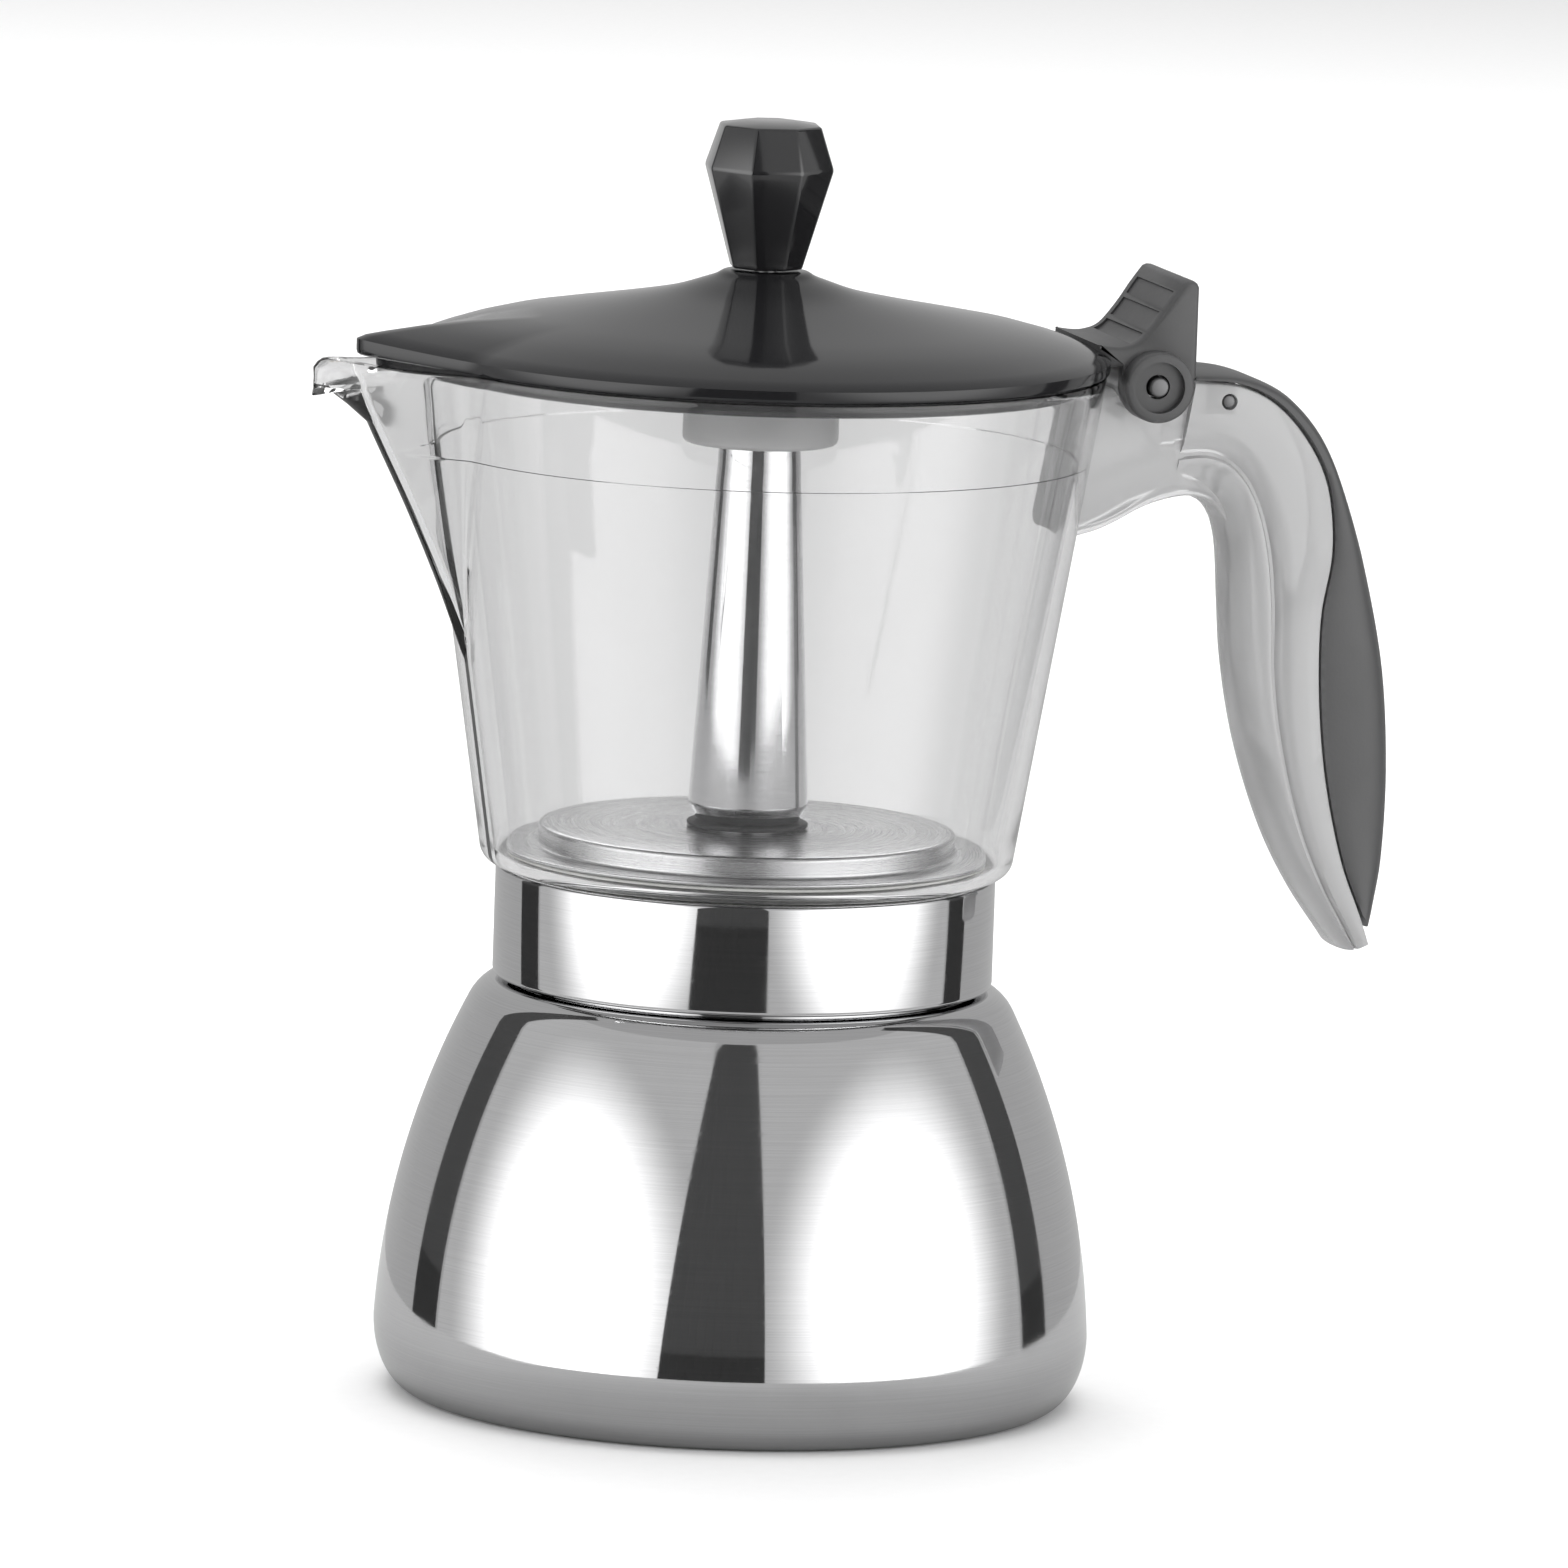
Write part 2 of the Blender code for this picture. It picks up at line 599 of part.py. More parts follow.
def make_floor():
    sheet = PLATE_SHEET
    top = PLATE_TOP_Z
    profile = [
        (BORE_R, top), (PLATE_STEP_R - sheet, top), (PLATE_STEP_R, top - sheet),
        (PLATE_STEP_R, FLANGE_Z + sheet), (PLATE_FLANGE_R, FLANGE_Z + sheet), (PLATE_FLANGE_R, FLANGE_Z),
        (PLATE_STEP_R - sheet, FLANGE_Z), (PLATE_STEP_R - sheet, top - sheet), (BORE_R, top - sheet),
    ]
    keep(turned("base_plate", profile, closed=True), "brushed_steel")
    seal = ring("jug_seal", PLATE_STEP_R + sheet, PLATE_FLANGE_R - PLAY, SEAL_Z, SEAL_Z + SEAL_THICK,
                HIDDEN_STEPS)
    keep(seal, "seal_silicone")


def make_column():
    seal = ring("column_seal", BORE_R, COLUMN_SEAL_R, COLUMN_SEAL_Z, COLUMN_SEAL_Z + SEAL_THICK,
                HIDDEN_STEPS)
    keep(seal, "seal_rubber")
    foot = COLUMN_FOOT_R
    top_z = COLUMN_TOP_Z
    nut_low = NUT_TOP_Z - NUT_THICK
    profile = [
        (0, top_z), (COLUMN_TOP_R - COLUMN_BEVEL, top_z), (COLUMN_TOP_R, top_z - COLUMN_BEVEL),
        (foot, COLUMN_Z + 2 * COLUMN_BEVEL), (foot - COLUMN_BEVEL, COLUMN_Z), (SPIGOT_R, COLUMN_Z),
        (SPIGOT_R, nut_low), (COLUMN_BORE_R, nut_low), (COLUMN_BORE_R, top_z - COLUMN_BEVEL),
        (0, top_z - COLUMN_BEVEL),
    ]
    column = turned("column", profile, HIDDEN_STEPS)
    height = top_z - OUTLET_DOWN
    outlet = rod("outlets", OUTLET_R, (0, -foot, height), (0, foot, height), 12)
    keep(boolean(column, outlet), "polished_steel")

    nut = rod("column_nut", NUT_R, (0, 0, nut_low), (0, 0, NUT_TOP_Z), sides=6)
    thread = rod("nut_thread", BORE_R, (0, 0, nut_low - PLAY), (0, 0, NUT_TOP_Z + PLAY))
    keep(boolean(nut, thread), "satin_steel")


def jug_radius(z):
    """The jug's outer radius at a height on its straight wall."""
    share = (z - JUG_Z) / (JUG_TOP_Z - JUG_Z)
    return JUG_FOOT_R + (JUG_RIM_R - JUG_FOOT_R) * share


def spout_wedge(name, inset, above_rim):
    """The V of the spout as a loft of slices, each between two heights of the nose."""
    levels = [(JUG_RIM_R + reach * MM, JUG_TOP_Z - drop * MM) for reach, drop in SPOUT_NOSE]
    rows = []
    low, high = levels[0][1], levels[-1][1]
    for reach, z in levels:
        share = (z - low) / (high - low)
        wall = jug_radius(z)
        half = max(SPOUT_HALF_WIDTH * share - inset, SPOUT_HALF_WIDTH * 0.03)
        back = math.sqrt(wall ** 2 - half ** 2) - (2.5 * inset if inset else JUG_WALL / 2)
        nose_r = max(min(SPOUT_NOSE_R, half) - inset, 0.4 * MM)
        nose = reach - inset * 1.05 - nose_r
        row = [(-back, half, z)]
        for i in range(7):
            angle = math.radians(-60 + 20 * i)
            row.append((-nose - nose_r * math.cos(angle), -nose_r * math.sin(angle), z))
        row.append((-back, -half, z))
        rows.append(row)
    if above_rim:
        rows.append([(x, y, z + above_rim) for x, y, z in rows[-1]])
    work = bmesh.new()
    rings = [[work.verts.new(point) for point in row] for row in rows]
    for under, over in zip(rings, rings[1:]):
        for i in range(len(under)):
            j = (i + 1) % len(under)
            work.faces.new((under[i], under[j], over[j], over[i]))
    work.faces.new(rings[0][::-1])
    work.faces.new(rings[-1])
    bmesh.ops.recalc_face_normals(work, faces=work.faces)
    mesh = bpy.data.meshes.new(name)
    work.to_mesh(mesh)
    work.free()
    return mesh_object(name, mesh)


def make_jug():
    top, wall = JUG_TOP_Z, JUG_WALL
    corner = JUG_CORNER
    ledge = top - JUG_LEDGE_DOWN
    floor_z = JUG_Z + JUG_FLOOR
    foot_r = jug_radius(JUG_Z + corner)
    outer = [
        (0, top), (JUG_RIM_R - corner / 4, top), (JUG_RIM_R, top - corner / 4), (foot_r, JUG_Z + corner),
        (foot_r - 0.3 * corner, JUG_Z + 0.45 * corner), (foot_r - corner, JUG_Z), (0, JUG_Z),
    ]
    jug = turned("jug", outer)
    boolean(jug, spout_wedge("spout_form", 0.0, 0.0), "UNION")
    beak = [(-JUG_RIM_R - reach * MM, top - drop * MM) for reach, drop in BEAK]
    boolean(jug, slab("beak_form", beak, BEAK_HALF_WIDTH, 1.0 * MM), "UNION")

    above = top + 4 * MM
    inside = [
        (0, above), (JUG_RIM_R - wall + JUG_LEDGE, above), (JUG_RIM_R - wall + JUG_LEDGE, top),
        (jug_radius(ledge) - wall + JUG_LEDGE, ledge), (jug_radius(ledge) - wall, ledge - JUG_LEDGE),
        (jug_radius(floor_z) - wall, floor_z + corner / 2),
        (jug_radius(floor_z) - wall - corner / 2, floor_z), (PLATE_STEP_R + PLATE_SHEET, floor_z),
        (PLATE_STEP_R + PLATE_SHEET, JUG_Z - PLAY), (0, JUG_Z - PLAY),
    ]
    boolean(jug, turned("jug_hollow", inside))
    boolean(jug, spout_wedge("spout_hollow", wall * 0.9, 4 * MM))
    keep(jug, "clear_plastic")


def grip_outline():
    inner = smooth(from_hinge(INNER_EDGE), 2)
    return inner + from_hinge(TIP) + smooth(from_hinge(SEAM), 2)


def make_handle():
    """The clear grip with its neck, its hinge knuckle and a slot for the insert's tongue."""
    grip = grip_outline()
    low, high = HINGE_Z - SADDLE_DOWN, HINGE_Z - NECK_DOWN
    neck_front = [(HANDLE_X, grip[-1][1]), (HANDLE_X, high), (jug_radius(high) + PLAY, high),
                  (jug_radius(low) + PLAY, low)]
    handle = slab("handle", grip + neck_front, HANDLE_HALF, HANDLE_EDGE)
    hinge = (HINGE_X, HINGE_Z)
    knuckle = rod("knuckle", KNUCKLE_R, across(hinge, -HANDLE_HALF), across(hinge, HANDLE_HALF))
    boolean(handle, knuckle, "UNION")
    swept = turned("jug_sweep", [
        (0, JUG_TOP_Z + LID_EDGE), (jug_radius(JUG_TOP_Z + LID_EDGE) + PLAY, JUG_TOP_Z + LID_EDGE),
        (jug_radius(JUG_Z) + PLAY, JUG_Z), (0, JUG_Z)])
    boolean(handle, swept)
    hole = rod("hinge_hole", HINGE_PIN_R + PLAY, across(hinge, -LUG_HALF), across(hinge, LUG_HALF))
    boolean(handle, hole)
    (left, low), (right, high) = from_hinge(TONGUE)
    slot = box("tongue_slot", (left - PLAY, -TONGUE_HALF - PLAY, low - PLAY),
               (right + PLAY, TONGUE_HALF + PLAY, high + PLAY))
    boolean(handle, slot)
    pin = from_hinge([GRIP_PIN])[0]
    cross = rod("cross_hole", GRIP_PIN_R + PLAY, across(pin, -LUG_HALF), across(pin, LUG_HALF), 12)
    boolean(handle, cross)
    keep(handle, "clear_plastic")


def make_insert():
    """The black back of the grip, with the tongue that a cross pin holds."""
    seam = smooth(from_hinge(SEAM), 2)
    shifted = []
    for before, (x, z), after in zip([seam[0]] + seam, seam, seam[1:] + [seam[-1]]):
        along = Vector((after[0] - before[0], after[1] - before[1])).normalized()
        shifted.append((x + along.y * PLAY, z - along.x * PLAY))
    outline = shifted + smooth(from_hinge(BACK_EDGE), 2)
    insert = slab("grip_insert", outline, HANDLE_HALF, 0.5 * MM, 1)
    (left, low), (right, high) = from_hinge(TONGUE)
    boolean(insert, box("tongue", (left, -TONGUE_HALF, low), (right, TONGUE_HALF, high - PLAY)), "UNION")
    pin = from_hinge([GRIP_PIN])[0]
    hole = rod("tongue_hole", GRIP_PIN_R + PLAY, across(pin, -LUG_HALF), across(pin, LUG_HALF), 12)
    keep(boolean(insert, hole), "satin_black")
    reach = HANDLE_HALF - PLAY
    keep(rod("grip_pin", GRIP_PIN_R, across(pin, -reach), across(pin, reach), 12), "satin_steel")


def lid_peak():
    """The roof over the spout, a convex wedge from the lid's cone to the tip."""
    rim_x = math.sqrt(LID_RIM_R ** 2 - SPOUT_HALF_WIDTH ** 2)
    ridge_r, ridge_up = LID_TOP[4]
    tip_z = RIM_EDGE_Z + PEAK_RISE
    points = [(-ridge_r * LID_RIM_R, 0, RIM_EDGE_Z + ridge_up * MM - PLAY),
              (-ridge_r * LID_RIM_R, 0, RIM_EDGE_Z - PEAK_THICK)]
    for side in (-1, 1):
        for z in (RIM_EDGE_Z, RIM_EDGE_Z - PEAK_THICK):
            points.append((-rim_x, side * SPOUT_HALF_WIDTH, z))
        for back, narrower in ((1.6, 0.0), (0.4, 1.2), (0.0, 2.6)):
            for z in (tip_z, tip_z - PEAK_THICK):
                points.append((-PEAK_REACH + back * MM, side * (PEAK_HALF - narrower * MM), z))
    return hull("lid_peak", points)


def lug_outline(inset):
    """The thumb lug from the side, as (x, z), from the rim round the thumb curve and down the back."""
    start = (LID_RIM_R - 3.2 * MM, RIM_EDGE_Z + 1.6 * MM)
    thumb_low = (HINGE_X - 4.6 * MM, HINGE_Z + 5.6 * MM)
    thumb_top = (HINGE_X + 4.2 * MM, HINGE_Z + 15.2 * MM)
    nose = (HINGE_X + 5.3 * MM, HINGE_Z + 15.3 * MM)
    back_top = (HINGE_X + 6.2 * MM, HINGE_Z + 14.3 * MM)
    front_x = LID_RIM_R + SLIDING
    thumb = bulge(thumb_low, thumb_top, 1.7 * MM, 5)
    if not inset:
        back = (HINGE_X + 6.2 * MM, HINGE_Z + 1.2 * MM)
        return [start, thumb_low, *thumb, nose, back_top, back, (back[0] - 1.2 * MM, HINGE_Z - 0.2 * MM),
                (front_x, HINGE_Z + 0.4 * MM), (front_x, JUG_TOP_Z + PLAY), (start[0], JUG_TOP_Z + PLAY)]
    beyond = HINGE_X + 9 * MM
    inner = [(x + inset * 0.75, z - inset * 0.75) for x, z in [thumb_low, *thumb]]
    return [(front_x, HINGE_Z - 4 * MM), (front_x, inner[0][1] - inset * 0.4), *inner,
            (beyond, inner[-1][1]), (beyond, HINGE_Z - 4 * MM)]


def make_lid():
    top = [(share * LID_RIM_R, RIM_EDGE_Z + up * MM) for share, up in LID_TOP]
    brim_low = JUG_TOP_Z + PLAY
    skirt_r = JUG_RIM_R - JUG_WALL + JUG_LEDGE - 3 * PLAY
    skirt_low = brim_low - LID_SKIRT
    under = [(r, z - LID_SHEET) for r, z in top[:-2]][::-1]
    hole_r = SCREW_R + PLAY
    profile = [(hole_r, top[0][1]), *top, (LID_RIM_R, RIM_EDGE_Z - 0.4 * MM),
               (LID_RIM_R, brim_low + 0.5 * MM), (LID_RIM_R - 0.6 * MM, brim_low),
               (skirt_r, brim_low), (skirt_r - 0.3 * MM, skirt_low),
               (skirt_r - LID_SKIRT_WALL, skirt_low), (skirt_r - LID_SKIRT_WALL, brim_low + 0.3 * MM),
               *under, (hole_r, LID_APEX_Z - LID_SHEET)]
    lid = turned("lid", profile, closed=True)
    boolean(lid, lid_peak(), "UNION")
    half = SPOUT_HALF_WIDTH - SLIDING
    gap = box("skirt_gap", (-LID_RIM_R - SLIDING, -half, skirt_low - PLAY),
              (-LID_RIM_R * 0.8, half, brim_low))
    boolean(lid, gap)
    boolean(lid, slab("lug_form", lug_outline(0.0), LUG_HALF, 0.7 * MM), "UNION")
    hinge = (HINGE_X, HINGE_Z)
    reach = LUG_HALF + HINGE_BOSS_PROUD
    boss = rod("boss_form", HINGE_BOSS_R, across(hinge, -reach), across(hinge, reach), 20)
    boolean(lid, boss, "UNION")
    inner_half = LUG_HALF - LUG_WALL
    boolean(lid, slab("lug_hollow", lug_outline(LUG_SHEET), inner_half))
    between = rod("boss_gap", HINGE_BOSS_R + PLAY, across(hinge, -inner_half),
                  across(hinge, inner_half), 20)
    boolean(lid, between)
    hole = rod("lid_pin_hole", HINGE_PIN_R + PLAY, across(hinge, -reach - PLAY), across(hinge, reach + PLAY))
    boolean(lid, hole)
    for side in (-1, 1):
        recess = rod("recess_%s" % ("near" if side < 0 else "far"), HINGE_RECESS_R,
                     across(hinge, side * (reach - HINGE_RECESS)), across(hinge, side * (reach + SLIDING)))
        boolean(lid, recess)
    keep(lid, "gloss_black")
    pin_reach = reach - HINGE_RECESS / 3
    pin = rod("hinge_pin", HINGE_PIN_R, across(hinge, -pin_reach), across(hinge, pin_reach))
    keep(pin, "satin_steel")


def make_knob():
    """Eight flat sides that widen to a bevelled crown."""
    levels = [(KNOB_WAIST_R, 0.0), (KNOB_R, KNOB_WIDE_UP), (KNOB_TOP_R, KNOB_TOP_UP),
              (KNOB_TOP_R * 0.5, KNOB_TOP_UP + KNOB_CROWN)]
    points = []
    for radius, up in levels:
        for i in range(KNOB_SIDES):
            angle = KNOB_TURN + 2 * math.pi * (i + 0.5) / KNOB_SIDES
            points.append((radius * math.cos(angle), radius * math.sin(angle), KNOB_Z + up))
    knob = hull("knob", points)
    edges = knob.modifiers.new("edge", "BEVEL")
    edges.width = 0.35 * MM
    edges.segments = 2
    edges.limit_method = "ANGLE"
    edges.angle_limit = math.radians(20)
    hole = rod("knob_hole", SCREW_R + PLAY, (0, 0, KNOB_Z - PLAY),
               (0, 0, KNOB_Z + SCREW_INTO_KNOB + PLAY))
    keep(boolean(knob, hole), "gloss_black")


def make_guard_and_screw():
    roof = GUARD_TOP_Z
    cup_top = RIM_EDGE_Z + 6.3 * MM
    inside = cup_top - 1.5 * GUARD_WALL
    hole_r = SCREW_R + PLAY
    boss_r = 2.5 * SCREW_R
    low = cup_top - GUARD_DEPTH
    profile = [
        (boss_r, roof), (boss_r, cup_top), (GUARD_R - 0.8 * MM, cup_top), (GUARD_R, cup_top - 0.8 * MM),
        (GUARD_R, low + 0.8 * MM), (GUARD_R - 0.6 * MM, low), (GUARD_R - GUARD_WALL, low + 0.2 * MM),
        (GUARD_R - GUARD_WALL, inside), (hole_r, inside), (hole_r, roof),
    ]
    keep(turned("splash_guard", profile, HIDDEN_STEPS, closed=True), "frosted_silicone")
    head_top = inside - PLAY
    screw = rod("knob_screw", SCREW_HEAD_R, (0, 0, head_top - SCREW_HEAD), (0, 0, head_top))
    shank = rod("screw_shank", SCREW_R, (0, 0, head_top - SCREW_HEAD / 2),
                (0, 0, KNOB_Z + SCREW_INTO_KNOB))
    keep(boolean(screw, shank, "UNION"), "satin_steel")


finish("polished_steel", (0.62, 0.62, 0.62), 0.08, 1.0)
finish("brushed_steel", (0.55, 0.55, 0.55), 0.3, 1.0)
finish("satin_steel", (0.5, 0.5, 0.5), 0.4, 1.0)
finish("satin_aluminium", (0.7, 0.7, 0.7), 0.38, 1.0)
finish("brass", (0.72, 0.55, 0.28), 0.3, 1.0)
finish("seal_rubber", (0.04, 0.04, 0.04), 0.8)
finish("seal_silicone", (0.75, 0.75, 0.72), 0.6)
finish("clear_plastic", (0.86, 0.86, 0.86), 0.08)
finish("frosted_silicone", (0.7, 0.7, 0.7), 0.5)
finish("gloss_black", (0.015, 0.015, 0.015), 0.12)
finish("satin_black", (0.05, 0.05, 0.05), 0.45)

make_boiler()
make_valve()
make_spring()
make_funnel()
make_filter()
make_collar()
make_floor()
make_column()
make_jug()
make_handle()
make_insert()
make_lid()
make_knob()
make_guard_and_screw()
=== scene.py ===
"""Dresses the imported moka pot: finer meshes and real finishes on the frame that the CAD gives.

Lengths in the tables are millimetres, and MM turns them into Blender's metres.
"""

import math

import bmesh
import bpy
from bpy.props import FloatProperty, FloatVectorProperty, IntProperty, PointerProperty
from mathutils import Matrix, Vector


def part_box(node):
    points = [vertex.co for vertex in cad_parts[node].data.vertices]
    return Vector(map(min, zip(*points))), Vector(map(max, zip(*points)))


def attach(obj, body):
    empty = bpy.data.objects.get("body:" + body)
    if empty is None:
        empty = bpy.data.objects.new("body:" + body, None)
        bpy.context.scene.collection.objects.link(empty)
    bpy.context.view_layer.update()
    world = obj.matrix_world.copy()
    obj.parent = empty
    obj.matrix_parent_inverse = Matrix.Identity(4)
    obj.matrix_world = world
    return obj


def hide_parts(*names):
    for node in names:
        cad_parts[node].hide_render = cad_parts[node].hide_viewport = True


bl_info = {
    "name": "Moka pot",
    "version": (1, 0, 0),
    "blender": (4, 5, 0),
    "location": "3D View > Sidebar > Moka pot",
    "description": "Builds a moka pot with a polished boiler and a clear jug on its packed frame",
    "category": "Add Mesh",
}

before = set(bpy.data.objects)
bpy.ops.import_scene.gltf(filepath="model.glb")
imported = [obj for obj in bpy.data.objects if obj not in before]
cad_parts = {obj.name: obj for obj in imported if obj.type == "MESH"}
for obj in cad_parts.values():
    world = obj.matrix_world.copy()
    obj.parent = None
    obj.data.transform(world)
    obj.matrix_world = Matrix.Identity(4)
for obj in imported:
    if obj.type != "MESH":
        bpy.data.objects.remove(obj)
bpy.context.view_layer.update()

MM = 0.001
TAU = 2 * math.pi

# Boiler, with its shoulder and its side as (radius, height)
BOILER_SHOULDER = (36.3, 60.5)
BOILER_SIDE = (39.5, 57.5)
BOILER_BELLY = 10.0
BOILER_BASE_R = 46.2
BOILER_STEP = ((40, 0.0), (38.6, 0.5), (20, 0.9), (0.0, 0.9))
BOILER_WALL = 1.4
BOILER_THREAD_LOW = 61.6

# Radii of the turned pieces that meet between the boiler and the jug
COLLAR_STEP_R = 27.5
WEB_BORE_R = 5.3
PLATE_STEP_R = 30.3
SEAL_BORE_R = 31.1
COLUMN_TIP_R = 5.5

# Jug, with the nose of its spout as (drop below the rim, reach from the axis), and its lip's curl
# as (drop below the rim, how far out, how far up)
JUG_FOOT_R = 38.4
JUG_RIM_R = 49.9
JUG_HEIGHT = 73.5
JUG_WALL = 1.9
JUG_CORNER = 2.1
JUG_LEDGE = 0.4
LEDGE_DROP = 12.6
SPOUT_HALF = 16.4
NOSE_R = 3.4
NOSE_LINE = ((43.0, 43.3), (32.0, 47.6), (21.1, 52.5), (8.4, 58.8), (0.0, 62.6))
LIP_REACH = 8.0
LIP_CURL = (
    (6.0, 1.85, 0.1), (4.4, 3.3, 0.1), (3.2, 4.3, -0.2), (2.2, 5.0, -2.2), (1.6, 5.15, -3.0),
    (1.3, 4.9, -2.4), (1.0, 4.7, -1.0), (0.55, 4.6, 0.0), (0.25, 3.9, 0.5), (0.05, 3.1, 0.8),
)

# Points in the plan of the jug and of the lid: round its wall, along each side of its spout, round
# the nose
PLAN_COUNTS = (130, 9, 12)

# Grip, as (x, z) along its inner edge, its seam with the black insert, and the insert's back
GRIP_INNER = (
    (60.0, 131.3), (64.0, 131.9), (67.8, 129.8), (69.9, 124.5), (70.6, 114.5), (71.5, 105.8),
    (74.2, 93.9), (78.6, 82.0), (83.6, 73.0), (89.6, 65.0),
)
GRIP_SEAM = (
    (62.9, 149.2), (69.5, 148.7), (75.2, 146.1), (80.2, 140.9), (83.7, 134.0), (84.8, 124.5),
    (83.4, 114.5), (83.6, 102.7), (85.0, 90.9), (87.8, 79.1), (91.0, 70.9), (92.6, 66.4),
)
INSERT_SEAM = (
    (62.9, 149.5), (69.6, 149.0), (75.4, 146.4), (80.5, 141.1), (84.0, 134.1), (85.1, 124.5),
    (83.7, 114.5), (83.9, 102.7), (85.3, 91.0), (88.1, 79.2), (91.3, 71.0),
)
INSERT_BACK = (
    (62.9, 150.4), (69.0, 150.3), (73.6, 149.2), (78.3, 146.6), (83.3, 140.9), (87.4, 132.1),
    (91.4, 120.4), (94.6, 106.5), (95.8, 92.0), (95.4, 79.0), (94.0, 71.4), (93.1, 68.4),
)

# Across the grip, as (share from its inner edge to its seam, share of its half width)
GRIP_SIDE = (
    (0.0, 0.0), (0.015, 0.25), (0.05, 0.46), (0.11, 0.64), (0.19, 0.78), (0.27, 0.86), (0.33, 0.895),
    (0.36, 0.89), (0.38, 0.83), (0.41, 0.83), (0.44, 0.91), (0.5, 0.97), (0.6, 0.99), (0.8, 1.0),
    (0.97, 1.0), (0.99, 0.985), (1.0, 0.95),
)

# Grip's neck, as (x, z) under it and over it, and as (share of its half width, how far drawn in)
NECK_UNDER = (
    (45.6, 126.2), (49.4, 127.2), (52.6, 128.6), (56.4, 130.6), (60.0, 131.8), (63.5, 132.2),
    (67.0, 131.2), (69.6, 128.2), (72.0, 124.0),
)
NECK_OVER = ((76.0, 128.0), (76.0, 141.0), (72.0, 146.6))
NECK_LEVELS = (
    (-0.86, 0.3), (-0.82, 0.17), (-0.74, 0.06), (-0.62, 0.0), (0.62, 0.0), (0.74, 0.06),
    (0.82, 0.17), (0.86, 0.3),
)

# Lid, with its top from the knob to the rim as (radius, drop below the apex), its edge as (share of
# the way out, drop), and its skirt as (inset, height above the brim, share of the peak's lift)
LID_R = 50.3
LID_SHEET = 1.8
LID_TOP = ((1.9, 0.0), (5.6, 0.0), (7.3, 0.8), (9.2, 1.5), (14.5, 3.2), (23.3, 5.0), (34.6, 7.0))
LID_EDGE = ((0.0, 7.0), (0.35, 8.0), (0.62, 9.1), (0.85, 10.3), (0.95, 10.9), (1.0, 11.5))
LID_SKIRT = (
    (0.0, 0.6, 0.75), (0.12, 0.2, 0.7), (0.5, 0.0, 0.65), (2.85, 0.0, 0.3), (3.0, -2.0, 0.8),
    (3.35, -2.2, 0.8), (4.15, -2.1, 0.8), (4.35, 0.3, 0.6),
)
PEAK_REACH = 60.6
PEAK_NOSE_R = 3.0
PEAK_HALF = 16.4

# Thumb lug, with its curve and its tip as (x, z) from the hinge, and its sides as (share of its half
# width, how far its outline is drawn in)
LUG_HALF = 11.0
LUG_FRONT = 50.9
LUG_CURVE = ((-8.9, 6.0), (-6.6, 5.7), (-4.6, 5.8), (-2.4, 6.7), (0.1, 9.6), (2.2, 12.7), (4.0, 15.1))
LUG_TIP = ((4.6, 15.35), (5.3, 15.3), (5.9, 14.9), (6.2, 14.3), (6.2, 1.2), (5.0, -0.2))
LUG_LEVELS = ((-1.0, 0.5), (-0.985, 0.2), (-0.955, 0.0), (0.955, 0.0), (0.985, 0.2), (1.0, 0.5))

# Knob, as (radius of its corners, height above its base), and its turn in degrees
KNOB_LEVELS = ((5.4, 0.0), (9.7, 14.6), (7.6, 20.8), (3.9, 21.35))
KNOB_TURN = -8.5

# Camera, with its distance and height in mm, and its yaw, pitch and roll
CAMERA_TURN = math.radians(16)
CAMERA_PLACE = (2335.34, 434.70)
CAMERA_AIM = (0.002203, 0.146687, 0.034317)
CAMERA_LENS = 373.69

# Studio, in metres and degrees from the camera: cards as (name, directions at the foot, directions at
# the top, distance, low, high), softboxes as (name, direction, spread) with their half sizes
WORLD_LIGHT = 0.62
CARDS = (
    ("front_card", (-25, 12), (-8.0, 8.0), 1.25, -0.4, 1.5),
    ("left_card", (-123, -108), (-123, -108), 1.2, -0.6, 1.9),
    ("right_card", (107, 121), (107, 121), 1.2, -0.6, 1.9),
)
SOFTBOXES = (("left_softbox", -56, (-107, -12)), ("right_softbox", 56, (9, 106)))
SOFTBOX_HALF = (1.05, 0.85)
SOFTBOX_EDGE = 0.66


# ---- sizes and colours

class PotSizes(bpy.types.PropertyGroup):
    """Sizes that a user would change"""

    turns: IntProperty(
        name="Facets round a turned piece", description="Points round each turned piece",
        default=144, min=24, max=512)
    thread_pitch: FloatProperty(
        name="Thread pitch", description="Rise of the neck's thread in one turn",
        default=3.0 * MM, unit="LENGTH")
    thread_depth: FloatProperty(
        name="Thread depth", description="Depth of the neck's thread",
        default=0.55 * MM, unit="LENGTH")
    hole_radius: FloatProperty(
        name="Sieve hole", description="Radius of each hole in the two sieve plates",
        default=0.42 * MM, unit="LENGTH")
    hole_spacing: FloatProperty(
        name="Sieve spacing", description="Distance between holes in the two sieve plates",
        default=2.9 * MM, unit="LENGTH")
    knob_edge: FloatProperty(
        name="Knob edge", description="Width of the bevel on the knob's edges",
        default=0.35 * MM, unit="LENGTH")
    table_radius: FloatProperty(
        name="Table radius", description="Radius of the table top that mirrors see",
        default=0.17, unit="LENGTH")


